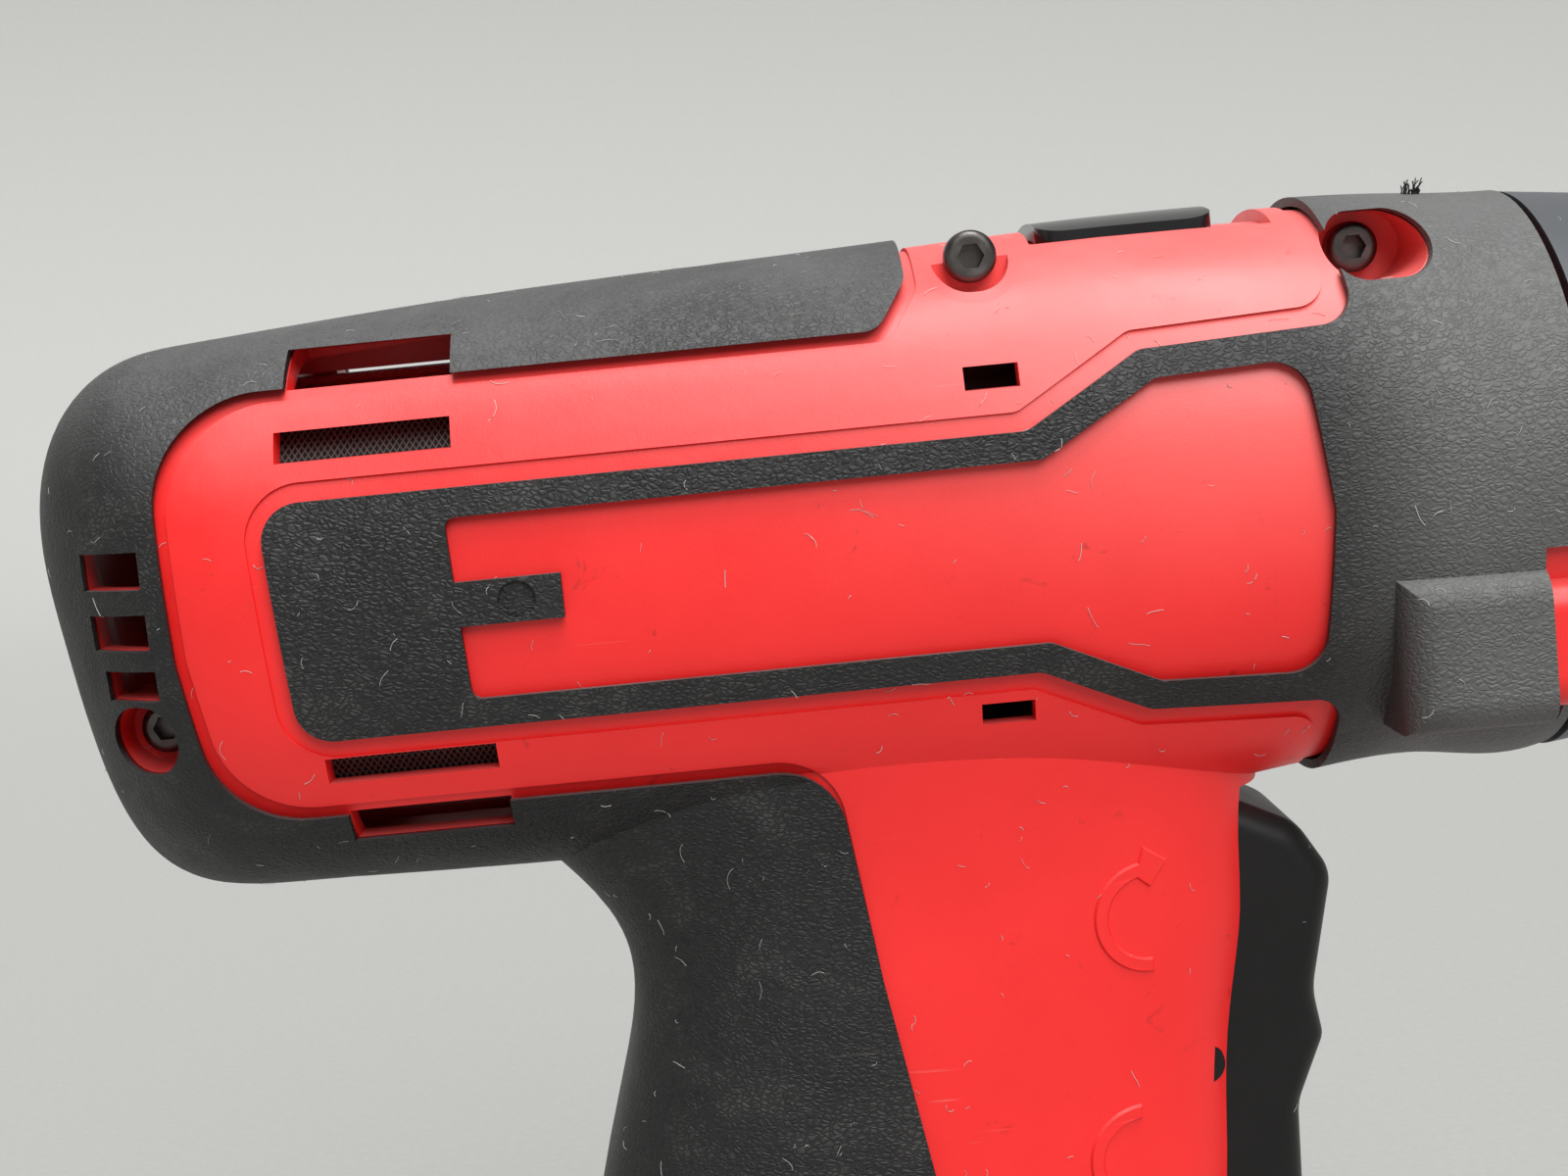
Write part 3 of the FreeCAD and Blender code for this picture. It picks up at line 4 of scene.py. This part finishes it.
import bmesh
import bpy
from mathutils import Matrix, Vector
from mathutils.bvhtree import BVHTree
from mathutils.geometry import tessellate_polygon


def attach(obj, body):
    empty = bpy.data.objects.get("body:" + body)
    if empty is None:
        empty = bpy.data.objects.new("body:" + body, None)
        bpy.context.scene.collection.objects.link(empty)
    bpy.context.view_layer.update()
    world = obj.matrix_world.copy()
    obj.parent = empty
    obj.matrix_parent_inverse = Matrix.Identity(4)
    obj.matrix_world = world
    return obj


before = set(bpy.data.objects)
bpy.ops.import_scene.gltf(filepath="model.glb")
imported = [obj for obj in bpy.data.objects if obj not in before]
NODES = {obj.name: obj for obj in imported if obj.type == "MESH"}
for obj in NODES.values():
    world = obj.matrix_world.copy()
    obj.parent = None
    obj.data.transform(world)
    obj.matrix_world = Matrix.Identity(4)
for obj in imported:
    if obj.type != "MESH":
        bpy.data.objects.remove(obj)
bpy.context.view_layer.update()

AXIS_Z = 0.158                 # spindle axis above the foot
TARGET_Z = AXIS_Z - 0.0049     # point that the camera looks at
CAMERA_DISTANCE = 0.243
CAMERA_ELEVATION = math.radians(6.0)
CAMERA_ROLL = math.radians(5.6)
FOCAL_PIXELS, IMAGE_WIDTH = 2430.0, 1600.0

FLOOR_DROP = 0.0002            # floor just below the foot
FLOOR_FLAT, FLOOR_BEND, FLOOR_RIM = 1.6, 0.9, 2.6
FLOOR_STEPS = 96

PAINTED_GLARE_X = (-0.012, 0.050)     # where a painted glare makes the red side paler, along the barrel
PAINTED_GLARE_Z = 0.012               # and how far from the axis that fades out
DUSTY_X = (0.047, 0.064)       # where the front ring gets its dust

ARROW_OUTER, ARROW_INNER = 0.0055, 0.0040
ARROW_PLACES = ((False, -0.0384, 0.0320, "upper"), (True, -0.0625, 0.0297, "lower"))
ARROW_BEVEL, ARROW_SUNK = 0.00022, 0.00004
LINT_GAP = 0.00003             # how far a fibre lies off the surface
FUZZ_X, FUZZ_Y = 0.0655, -0.004

random.seed(7)


# ---- stage: camera, floor, lights ----------------------------------------------------------
def camera():
    """Close view of the right side, the tool slightly nose-up."""
    data = bpy.data.cameras.new("camera")
    data.sensor_width = 36.0
    data.lens = FOCAL_PIXELS * data.sensor_width / IMAGE_WIDTH
    data.clip_start = 0.01
    eye = bpy.data.objects.new("camera", data)
    target = Vector((0.0, 0.0, TARGET_Z))
    away = Vector((0.0, -math.cos(CAMERA_ELEVATION), math.sin(CAMERA_ELEVATION)))
    eye.location = target + CAMERA_DISTANCE * away
    turn = (target - eye.location).to_track_quat("-Z", "Y").to_matrix()
    eye.rotation_euler = (turn @ Matrix.Rotation(-CAMERA_ROLL, 3, "Z")).to_euler()
    bpy.context.collection.objects.link(eye)
    bpy.context.scene.camera = eye


def sun(name, direction, strength, spread):
    """Soft distant light that comes from the given direction."""
    data = bpy.data.lights.new(name, "SUN")
    data.energy = strength
    data.angle = math.radians(spread)
    light = bpy.data.objects.new(name, data)
    light.rotation_euler = Vector(direction).to_track_quat("Z", "Y").to_euler()
    bpy.context.collection.objects.link(light)


def lights():
    sun("overhead", (0.12, -0.24, 0.96), 2.6, 34.0)
    sun("front", (0.22, -0.76, 0.60), 2.4, 38.0)
    sun("back", (-0.35, 0.80, 0.50), 1.0, 60.0)
    world = bpy.data.worlds.new("studio")
    bpy.context.scene.world = world
    world.use_nodes = True
    background = world.node_tree.nodes["Background"]
    background.inputs["Color"].default_value = (0.96, 0.98, 1.0, 1.0)
    background.inputs["Strength"].default_value = 0.30
    bpy.context.scene.view_settings.view_transform = "Standard"


# ---- materials -----------------------------------------------------------------------------
class Graph:
    """A material's node tree, with short calls for the nodes used here."""

    def __init__(self, name, color, roughness, metallic=0.0, specular=0.5):
        self.material = bpy.data.materials.new(name)
        self.material.use_nodes = True
        self.tree = self.material.node_tree
        self.shader = self.tree.nodes["Principled BSDF"]
        self.shader.inputs["Base Color"].default_value = (*color, 1.0)
        self.shader.inputs["Roughness"].default_value = roughness
        self.shader.inputs["Metallic"].default_value = metallic
        self.shader.inputs["Specular IOR Level"].default_value = specular
        self.coords = self.node("ShaderNodeTexCoord").outputs["Object"]

    def node(self, kind, **settings):
        made = self.tree.nodes.new(kind)
        for key, value in settings.items():
            setattr(made, key, value)
        return made

    def link(self, source, target):
        self.tree.links.new(source, target)

    def stretch(self, scale, turn=(0.0, 0.0, 0.0)):
        mapping = self.node("ShaderNodeMapping")
        mapping.inputs["Scale"].default_value = scale
        mapping.inputs["Rotation"].default_value = turn
        self.link(self.coords, mapping.inputs["Vector"])
        return mapping.outputs["Vector"]

    def noise(self, scale, detail=3.0, rough=0.55, distort=0.0, vector=None):
        made = self.node("ShaderNodeTexNoise")
        made.inputs["Scale"].default_value = scale
        made.inputs["Detail"].default_value = detail
        made.inputs["Roughness"].default_value = rough
        made.inputs["Distortion"].default_value = distort
        self.link(vector or self.coords, made.inputs["Vector"])
        return made.outputs["Fac"]

    def cells(self, scale, feature="F1", vector=None):
        made = self.node("ShaderNodeTexVoronoi", feature=feature)
        made.inputs["Scale"].default_value = scale
        self.link(vector or self.coords, made.inputs["Vector"])
        return made.outputs["Distance"]

    def ramp(self, source, low, high, out_low=0.0, out_high=1.0):
        made = self.node("ShaderNodeMapRange", interpolation_type="SMOOTHSTEP")
        made.inputs["From Min"].default_value = low
        made.inputs["From Max"].default_value = high
        made.inputs["To Min"].default_value = out_low
        made.inputs["To Max"].default_value = out_high
        self.link(source, made.inputs["Value"])
        return made.outputs["Result"]

    def math(self, operation, a, b):
        made = self.node("ShaderNodeMath", operation=operation)
        for value, socket in ((a, made.inputs[0]), (b, made.inputs[1])):
            if isinstance(value, (int, float)):
                socket.default_value = value
            else:
                self.link(value, socket)
        return made.outputs[0]

    def mix(self, factor, first, second):
        """Colour mix; first and second are colours or sockets."""
        made = self.node("ShaderNodeMix", data_type="RGBA")
        self.link(factor, made.inputs["Factor"])
        for value, socket in ((first, made.inputs[6]), (second, made.inputs[7])):
            if isinstance(value, tuple):
                socket.default_value = (*value, 1.0)
            else:
                self.link(value, socket)
        return made.outputs[2]

    def bump(self, height, distance, strength=1.0):
        made = self.node("ShaderNodeBump")
        made.inputs["Strength"].default_value = strength
        made.inputs["Distance"].default_value = distance
        self.link(height, made.inputs["Height"])
        self.link(made.outputs["Normal"], self.shader.inputs["Normal"])

    def color(self, socket):
        self.link(socket, self.shader.inputs["Base Color"])

    def rough(self, socket):
        self.link(socket, self.shader.inputs["Roughness"])

    def up_dust_and_sheen(self, low, high):
        """0 on walls and undersides, rising to 1 on surfaces that look up, where dust settles and where
        a painted sheen stands in for the light from above.
        """
        geometry = self.node("ShaderNodeNewGeometry")
        split = self.node("ShaderNodeSeparateXYZ")
        self.link(geometry.outputs["Normal"], split.inputs[0])
        return self.ramp(split.outputs["Z"], low, high)


def scratches(g, amount):
    """Thin, broken scratches, most of them along the barrel."""
    lines = g.noise(1.0, 2.0, 0.5, 0.5, g.stretch((70.0, 400.0, 3000.0), (0.0, 0.22, 0.0)))
    patches = g.ramp(g.noise(70.0, 2.0, 0.6), 0.54, 0.66)
    return g.math("MULTIPLY", g.ramp(lines, 0.76 - amount, 0.80 - amount), patches)


def red_plastic(name="red_plastic", base=(0.86, 0.017, 0.016)):
    g = Graph(name, base, 0.40, specular=0.5)
    cloud = g.noise(42.0, 4.0, 0.62)
    deep = (base[0] * 0.86, base[1] * 0.7, base[2] * 0.7)
    tone = g.mix(cloud, deep, (base[0] * 1.08, base[1] * 1.3, base[2] * 1.3))
    # Surfaces that look up go pale pink: part settled dust, part painted sheen from the light above.
    dust_and_sheen_film = g.math("MULTIPLY", g.up_dust_and_sheen(0.15, 0.95), g.ramp(cloud, 0.3, 0.75, 0.12, 0.30))
    tone = g.mix(dust_and_sheen_film, tone, (0.74, 0.34, 0.33))
    place = g.node("ShaderNodeSeparateXYZ")
    g.link(g.coords, place.inputs[0])
    # Painted glare: the red side goes pale pink towards the front and above the axis, standing in for a
    # reflection of the light.
    paler_patch = g.math("MULTIPLY", g.ramp(place.outputs["X"], *PAINTED_GLARE_X),
                    g.ramp(place.outputs["Z"], AXIS_Z - PAINTED_GLARE_Z, AXIS_Z + PAINTED_GLARE_Z, 0.0, 0.30))
    tone = g.mix(paler_patch, tone, (0.92, 0.30, 0.28))
    grime = g.ramp(g.noise(260.0, 4.0, 0.7, 0.8), 0.64, 0.76, 0.0, 0.45)
    tone = g.mix(grime, tone, (0.13, 0.008, 0.008))
    tone = g.mix(g.math("MULTIPLY", scratches(g, 0.04), 0.30), tone, (0.70, 0.30, 0.28))
    g.color(tone)
    g.rough(g.ramp(cloud, 0.3, 0.7, 0.35, 0.48))
    grain = g.math("MULTIPLY", g.noise(4600.0, 1.0, 0.5), 0.6)
    g.bump(g.math("ADD", grain, g.noise(650.0, 2.0, 0.6)), 0.00006, 0.28)
    return g.material


def black_elastomer():
    """Soft skin with a leather grain, paler on top from dust and a painted sheen, and rubbed grey in
    patches.
    """
    g = Graph("black_elastomer", (0.02, 0.02, 0.021), 0.55, specular=0.38)
    warp = g.node("ShaderNodeTexNoise")
    warp.inputs["Scale"].default_value = 700.0
    warp.inputs["Detail"].default_value = 1.0
    g.link(g.coords, warp.inputs["Vector"])
    bent = g.node("ShaderNodeVectorMath", operation="MULTIPLY_ADD")
    g.link(warp.outputs["Color"], bent.inputs[0])
    bent.inputs[1].default_value = (0.0011, 0.0011, 0.0011)
    g.link(g.coords, bent.inputs[2])
    stretch = g.node("ShaderNodeMapping")
    stretch.inputs["Scale"].default_value = (0.75, 1.0, 1.25)
    g.link(bent.outputs[0], stretch.inputs["Vector"])
    creases = g.cells(1750.0, "DISTANCE_TO_EDGE", stretch.outputs["Vector"])
    pebble = g.ramp(creases, 0.0, 0.30)
    cloud = g.noise(66.0, 4.0, 0.62, 0.3)
    tone = g.mix(cloud, (0.007, 0.0068, 0.007), (0.016, 0.0156, 0.0156))
    along = g.node("ShaderNodeSeparateXYZ")
    g.link(g.coords, along.inputs[0])
    tone = g.mix(g.ramp(along.outputs["X"], *DUSTY_X, 0.0, 0.46), tone, (0.19, 0.19, 0.185))
    paler_patch = g.math("MULTIPLY", g.ramp(g.noise(150.0, 4.0, 0.7, 0.4), 0.47, 0.72), pebble)
    tone = g.mix(g.math("MULTIPLY", paler_patch, 0.22), tone, (0.16, 0.155, 0.15))
    # Surfaces that look up go grey: part settled dust, part painted sheen from the light above.
    dust_and_sheen_film = g.math("MULTIPLY", g.up_dust_and_sheen(0.1, 0.9), g.ramp(cloud, 0.25, 0.75, 0.24, 0.52))
    tone = g.mix(dust_and_sheen_film, tone, (0.17, 0.172, 0.17))
    tone = g.mix(g.math("MULTIPLY", scratches(g, 0.05), 0.35), tone, (0.20, 0.17, 0.14))
    g.color(tone)
    g.rough(g.ramp(cloud, 0.25, 0.75, 0.46, 0.60))
    g.bump(g.math("ADD", pebble, g.math("MULTIPLY", g.noise(5200.0, 1.0, 0.5), 0.35)), 0.00009, 0.8)
    return g.material


def hard_plastic(name, base, roughness, grain=0.25, dust_and_sheen_amount=0.2, specular=0.5):
    g = Graph(name, base, roughness, specular=specular)
    cloud = g.noise(55.0, 3.0, 0.6)
    tone = g.mix(cloud, base, tuple(c * 1.5 + 0.003 for c in base))
    # Surfaces that look up go paler: part settled dust, part painted sheen from the light above.
    dust_and_sheen_mask = g.math("MULTIPLY", g.up_dust_and_sheen(0.1, 0.95), dust_and_sheen_amount)
    tone = g.mix(dust_and_sheen_mask, tone, tuple(c * 0.5 + 0.14 for c in base))
    scratched = g.math("MULTIPLY", scratches(g, 0.04), 0.3)
    tone = g.mix(scratched, tone, tuple(c * 0.5 + 0.13 for c in base))
    g.color(tone)
    g.rough(g.ramp(cloud, 0.3, 0.7, roughness * 0.88, roughness * 1.15))
    g.bump(g.noise(3600.0, 2.0, 0.5), 0.00005, grain)
    return g.material


def metal(name, base, roughness, stretch=(400.0, 400.0, 400.0), oil=0.35):
    """Ground, drawn or cast metal; stretch sets the direction of its marks."""
    g = Graph(name, base, roughness, metallic=1.0)
    lines = g.noise(1.0, 3.0, 0.6, 0.2, g.stretch(stretch))
    cloud = g.noise(130.0, 3.0, 0.6)
    tone = g.mix(g.math("MULTIPLY", cloud, oil), base, tuple(c * 0.4 for c in base))
    g.color(g.mix(g.ramp(lines, 0.5, 0.7, 0.0, 0.35), tone, tuple(min(1.0, c * 1.35) for c in base)))
    g.rough(g.ramp(lines, 0.3, 0.7, roughness * 0.75, roughness * 1.35))
    g.bump(lines, 0.00004, 0.3)
    return g.material


def banded(name, dark, light, per_metre, metallic, depth):
    """Even bands, for wound wire, stacked sheets and the like."""
    g = Graph(name, light, 0.32, metallic=metallic)
    wave = g.node("ShaderNodeTexWave", bands_direction="X")
    wave.inputs["Scale"].default_value = per_metre
    wave.inputs["Distortion"].default_value = 0.6
    g.link(g.coords, wave.inputs["Vector"])
    g.color(g.mix(wave.outputs["Fac"], dark, light))
    g.bump(wave.outputs["Fac"], depth, 0.7)
    return g.material


def woven_screen():
    """Dark screen, its wires caught by the light."""
    g = Graph("woven_screen", (0.05, 0.05, 0.05), 0.5, metallic=0.6)
    wires = None
    for turn in (0.6, -0.6):
        wave = g.node("ShaderNodeTexWave", bands_direction="X")
        wave.inputs["Scale"].default_value = 620.0
        g.link(g.stretch((1.0, 0.0, 1.0), (0.0, turn, 0.0)), wave.inputs["Vector"])
        lit = g.ramp(wave.outputs["Fac"], 0.62, 0.95)
        wires = lit if wires is None else g.math("MAXIMUM", wires, lit)
    g.color(g.mix(wires, (0.003, 0.003, 0.003), (0.10, 0.09, 0.085)))
    g.bump(wires, 0.0002, 0.9)
    return g.material


def clear_lens():
    g = Graph("clear_lens", (0.92, 0.95, 0.97), 0.1)
    g.shader.inputs["Transmission Weight"].default_value = 0.85
    g.shader.inputs["IOR"].default_value = 1.49
    g.rough(g.ramp(g.noise(300.0, 3.0, 0.6), 0.4, 0.8, 0.05, 0.18))
    return g.material


def fibre(name, dark, light):
    g = Graph(name, light, 0.7, specular=0.3)
    g.color(g.mix(g.noise(900.0, 2.0, 0.6), dark, light))
    return g.material


RED = red_plastic()
RUBBER = black_elastomer()
BLACK = hard_plastic("black_plastic", (0.0040, 0.0037, 0.0037), 0.42, 0.3, 0.10, 0.28)
GLOSS = hard_plastic("gloss_black", (0.006, 0.006, 0.007), 0.17, 0.05, 0.10)
COLLAR = hard_plastic("collar_grey", (0.040, 0.045, 0.052), 0.45, 0.25, 0.30)
PACK = hard_plastic("pack_black", (0.014, 0.014, 0.015), 0.50, 0.7, 0.22)
NYLON = hard_plastic("white_nylon", (0.62, 0.61, 0.56), 0.4)
MAGNET = hard_plastic("ferrite", (0.05, 0.05, 0.055), 0.6)
CARBON = hard_plastic("carbon", (0.03, 0.03, 0.03), 0.35)
SLEEVING = hard_plastic("wire_sleeve", (0.30, 0.01, 0.01), 0.4)
CELL = hard_plastic("cell_sleeve", (0.03, 0.20, 0.16), 0.3)
LATCH = red_plastic("latch_red", (0.60, 0.010, 0.012))
SCREW = metal("screw_steel", (0.13, 0.12, 0.115), 0.34, oil=0.6)
CAN = metal("can_steel", (0.62, 0.63, 0.64), 0.24, (90.0, 900.0, 900.0), 0.25)
GEAR = metal("gear_steel", (0.38, 0.38, 0.39), 0.36, oil=0.6)
SPINDLE = metal("spindle_steel", (0.50, 0.50, 0.51), 0.24, (1800.0, 60.0, 60.0))
ALLOY = metal("case_alloy", (0.55, 0.56, 0.57), 0.45, (600.0, 600.0, 600.0))
BRONZE = metal("bush_bronze", (0.52, 0.33, 0.14), 0.4)
SPRING = metal("spring_steel", (0.36, 0.36, 0.38), 0.3)
CONTACT = metal("contact_strip", (0.66, 0.55, 0.33), 0.3)
COPPER = banded("copper_wire", (0.22, 0.05, 0.02), (0.72, 0.27, 0.10), 520.0, 1.0, 0.0002)
CORE = banded("laminated_steel", (0.14, 0.13, 0.13), (0.36, 0.36, 0.38), 330.0, 1.0, 0.0001)
SCREEN = woven_screen()
LENS = clear_lens()
LINT = fibre("lint", (0.34, 0.34, 0.33), (0.66, 0.66, 0.64))
FUZZ = fibre("black_fuzz", (0.008, 0.008, 0.008), (0.03, 0.028, 0.026))

FINISH = {
    "housing_right": RED, "housing_left": RED, "housing_screws": SCREW, "vent_screens": SCREEN,
    "overmould_rear_right": RUBBER, "overmould_rear_left": RUBBER,
    "overmould_front_right": RUBBER, "overmould_front_left": RUBBER,
    "motor_can": CAN, "motor_end_cap": BLACK, "motor_magnets": MAGNET, "motor_brushes": CARBON,
    "gearbox_case_rear": ALLOY, "gearbox_case_front": ALLOY, "clutch_balls": SPINDLE,
    "clutch_washer": SPINDLE, "spindle_bushes": BRONZE, "switch_module": BLACK, "motor_leads": SLEEVING,
    "terminal_block": BLACK, "lamp_lenses": LENS, "clutch_spring": SPRING, "armature_core": CORE,
    "armature_windings": COPPER, "commutator": COPPER, "motor_shaft": SPINDLE, "motor_fan": NYLON,
    "output_spindle": SPINDLE, "chuck_balls": SPINDLE, "chuck_snap_ring": SPRING,
    "sleeve_spring": SPRING,
    "chuck_sleeve": SPINDLE, "clutch_collar": COLLAR, "clutch_nut": NYLON, "speed_button": GLOSS,
    "shift_yoke": SPRING, "trigger": BLACK, "plunger_forward": NYLON, "plunger_reverse": NYLON,
    "battery_case": PACK, "battery_base_cover": PACK, "battery_cells": CELL, "battery_contacts": CONTACT,
    "battery_latch_right": LATCH, "battery_latch_left": LATCH,
}

# Edge rounding of the moulded pieces, in metres.
ROUNDING = {
    "housing_right": 0.00022, "housing_left": 0.00022,
    "overmould_rear_right": 0.00032, "overmould_rear_left": 0.00032,
    "overmould_front_right": 0.00032, "overmould_front_left": 0.00032,
    "speed_button": 0.0004, "trigger": 0.0003, "clutch_collar": 0.0003, "chuck_sleeve": 0.0002,
    "battery_case": 0.0003, "battery_latch_right": 0.0002, "battery_latch_left": 0.0002,
}


def finish_nodes():
    for name, node in NODES.items():
        node.data.materials.clear()
        node.data.materials.append(FINISH.get(name, GEAR))
        if name in ROUNDING:
            bevel = node.modifiers.new("rounding", "BEVEL")
            bevel.width = ROUNDING[name]
            bevel.segments = 2
            bevel.limit_method = "ANGLE"
            bevel.angle_limit = math.radians(38)
            bevel.harden_normals = True
            bevel.use_clamp_overlap = True


# ---- pieces made here ------------------------------------------------------------------------
def mesh_piece(name, verts, faces, material, body=None, smooth=True):
    data = bpy.data.meshes.new(name)
    data.from_pydata([tuple(v) for v in verts], [], faces)
    data.materials.append(material)
    if smooth:
        data.shade_smooth()
    data.update()
    piece = bpy.data.objects.new(name, data)
    bpy.context.collection.objects.link(piece)
    if body:
        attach(piece, body)
    return piece


def floor_bowl():
    """A pale floor that curves up all round, far enough out for every view."""
    profile = [(0.0, 0.0), (0.6, 0.0), (FLOOR_FLAT, 0.0)]
    profile += [(FLOOR_FLAT + FLOOR_BEND * math.sin(a), FLOOR_BEND - FLOOR_BEND * math.cos(a))
                for a in (math.radians(7.5 * i) for i in range(1, 13))]
    profile.append((FLOOR_FLAT + FLOOR_BEND, FLOOR_RIM))
    steps = FLOOR_STEPS
    verts = [(0.0, 0.0, -FLOOR_DROP)]
    for r, z in profile[1:]:
        angles = [2 * math.pi * k / steps for k in range(steps)]
        verts += [(r * math.cos(a), r * math.sin(a), z - FLOOR_DROP) for a in angles]
    faces = [(0, 1 + k, 1 + (k + 1) % steps) for k in range(steps)]
    for row in range(len(profile) - 2):
        low = 1 + row * steps
        faces += [(low + k, low + steps + k, low + steps + (k + 1) % steps, low + (k + 1) % steps)
                  for k in range(steps)]
    g = Graph("pale_paper", (0.375, 0.375, 0.365), 0.9, specular=0.1)
    g.color(g.mix(g.noise(500.0, 4.0, 0.7), (0.330, 0.329, 0.320), (0.384, 0.382, 0.371)))
    g.bump(g.noise(900.0, 3.0, 0.65), 0.0003, 0.2)
    floor = mesh_piece("floor", verts, faces, g.material)
    floor.visible_shadow = False          # the lights stand outside the bowl


def surface(names):
    """Search tree over CAD nodes, which all stand in the row frame."""
    verts, faces = [], []
    for name in names:
        data = NODES[name].data
        base = len(verts)
        verts += [v.co.copy() for v in data.vertices]
        faces += [tuple(base + i for i in p.vertices) for p in data.polygons]
    return BVHTree.FromPolygons(verts, faces)


def inset(outline, amount):
    """The outline moved inwards, for outlines that turn counter-clockwise."""
    moved = []
    for i, point in enumerate(outline):
        before, after = outline[i - 1], outline[(i + 1) % len(outline)]
        a = (point - before).normalized()
        b = (after - point).normalized()
        side = Vector((-a.y - b.y, a.x + b.x))
        moved.append(point + side.normalized() * amount / max(0.5, side.length / 2.0))
    return moved


def turn_arrow(centre, flip):
    """Outline of a C-shaped arrow, its head at the upper end, mirrored up to down by flip."""
    points = []
    for i in range(25):
        a = math.radians(98.0 + (272.0 - 98.0) * i / 24)
        points.append(Vector((ARROW_OUTER * math.cos(a), ARROW_OUTER * math.sin(a))))
    for i in range(21):
        a = math.radians(272.0 - (272.0 - 104.0) * i / 20)
        points.append(Vector((ARROW_INNER * math.cos(a), ARROW_INNER * math.sin(a))))
    points += [Vector((0.0003, 0.0028)), Vector((0.0023, 0.0053)), Vector((-0.0002, 0.0071))]
    if flip:
        points = [Vector((p.x, -p.y)) for p in reversed(points)]
    return [centre + p for p in points]


def embossed(name, outline, side, tree, rise=0.00032):
    """A low raised shape on the handle's side, with sloping edges."""
    top = inset(outline, ARROW_BEVEL)
    verts = []
    for ring, lift in ((outline, -ARROW_SUNK), (top, rise)):
        for p in ring:
            start = Vector((p.x, side * 0.2, p.y))
            place, normal, _, _ = tree.ray_cast(start, Vector((0.0, -side, 0.0)))
            verts.append(place + normal * lift)
    n = len(outline)
    faces = [(i, (i + 1) % n, n + (i + 1) % n, n + i) for i in range(n)]
    flat_top = [Vector((p.x, p.y, 0.0)) for p in top]
    faces += [tuple(n + k for k in tri) for tri in tessellate_polygon([flat_top])]
    piece = mesh_piece(name, verts, faces, RED, "housing", smooth=False)
    mesh = bmesh.new()
    mesh.from_mesh(piece.data)
    bmesh.ops.recalc_face_normals(mesh, faces=mesh.faces)
    mesh.to_mesh(piece.data)
    mesh.free()


def arrows():
    tree = surface(["housing_right", "housing_left"])
    for side, word in ((-1, "right"), (1, "left")):
        for flip, z, x, place in ARROW_PLACES:
            outline = turn_arrow(Vector((x, AXIS_Z + z)), flip)
            embossed("arrow_%s_%s" % (place, word), outline, side, tree)


def strand(path, radius, verts, faces):
    """A thin three-sided thread along a path of points."""
    base = len(verts)
    for i, point in enumerate(path):
        ahead = (path[min(i + 1, len(path) - 1)] - path[max(i - 1, 0)]).normalized()
        across = ahead.orthogonal().normalized()
        for k in range(3):
            verts.append(point + Matrix.Rotation(2 * math.pi * k / 3, 3, ahead) @ across * radius)
    for i in range(len(path) - 1):
        for k in range(3):
            a, b = base + 3 * i + k, base + 3 * i + (k + 1) % 3
            faces.append((a, b, b + 3, a + 3))


def lint(name, body, nodes, count, spread, directions):
    """Short white fibres that lie on the surface."""
    tree = surface(nodes)
    verts, faces = [], []
    low, high = spread
    made = 0
    while made < count:
        direction = Vector(random.choice(directions))
        start = Vector([random.uniform(a, b) for a, b in zip(low, high)]) - direction * 0.2
        place, normal, _, _ = tree.ray_cast(start, direction)
        if place is None or normal.dot(direction) > -0.25:
            continue
        heading = normal.orthogonal().normalized()
        heading = Matrix.Rotation(random.uniform(0, 2 * math.pi), 3, normal) @ heading
        steps = random.randint(4, 8)
        length = random.choice((0.0004, 0.0006, 0.0009, 0.0013, 0.0019))
        length = length * random.uniform(0.7, 1.3)
        bend = random.uniform(-0.32, 0.32)
        lift = random.uniform(0.00002, 0.00012)
        path = [place + normal * LINT_GAP]
        for i in range(steps):
            heading = Matrix.Rotation(bend + random.uniform(-0.2, 0.2), 3, normal) @ heading
            near, normal, _, _ = tree.find_nearest(path[-1] + heading * length / steps)
            rise = LINT_GAP + lift * math.sin(math.pi * (i + 1) / steps)
            path.append(near + normal * rise)
        strand(path, random.uniform(0.000018, 0.000036), verts, faces)
        made += 1
    mesh_piece(name, verts, faces, LINT, body)


def all_lint():
    shell = ["housing_right", "housing_left", "overmould_rear_right", "overmould_rear_left",
             "overmould_front_right", "overmould_front_left"]
    sides = [(0, 1, 0), (0, 1, 0), (0, 1, 0), (0, -1, 0), (0, -1, 0), (0, 0, -1)]
    lint("lint_housing", "housing", shell, 520, ((-0.074, -0.029, 0.055), (0.074, 0.029, 0.19)), sides)
    lint("lint_trigger", "trigger", ["trigger"], 22, ((0.038, -0.011, 0.078), (0.052, 0.011, 0.128)),
         [(0, 1, 0), (0, -1, 0), (-1, 0, 0)])
    lint("lint_battery", "battery", ["battery_case"], 60,
         ((-0.044, -0.028, 0.004), (0.044, 0.028, 0.044)), [(0, 1, 0), (0, -1, 0), (0, 0, -1)])
    lint("lint_collar", "clutch_collar", ["clutch_collar"], 20,
         ((0.075, -0.028, 0.13), (0.096, 0.028, 0.186)), [(0, 1, 0), (0, -1, 0), (0, 0, -1)])


def fuzz():
    """Torn threads of skin that stand up at the top of the front ring."""
    tree = surface(["overmould_front_right"])
    root, normal, _, _ = tree.ray_cast(Vector((FUZZ_X, FUZZ_Y, 0.3)), Vector((0, 0, -1)))
    verts, faces = [], []
    for i in range(34):
        tilt = Vector((random.uniform(-0.9, 1.2), random.uniform(-0.8, 0.4), 0.0))
        aside = (random.uniform(-0.0009, 0.0009), random.uniform(-0.0006, 0.0006), -0.0001)
        point = root + Vector(aside)
        path = [point]
        length = random.uniform(0.0004, 0.0017)
        for k in range(5):
            point = point + (normal + tilt * (0.25 * k)).normalized() * length / 5
            path.append(point)
        strand(path, 0.00007, verts, faces)
    mesh_piece("torn_threads", verts, faces, FUZZ, "housing")


camera()
lights()
floor_bowl()
finish_nodes()
arrows()
all_lint()
fuzz()

bpy.context.view_layer.update()
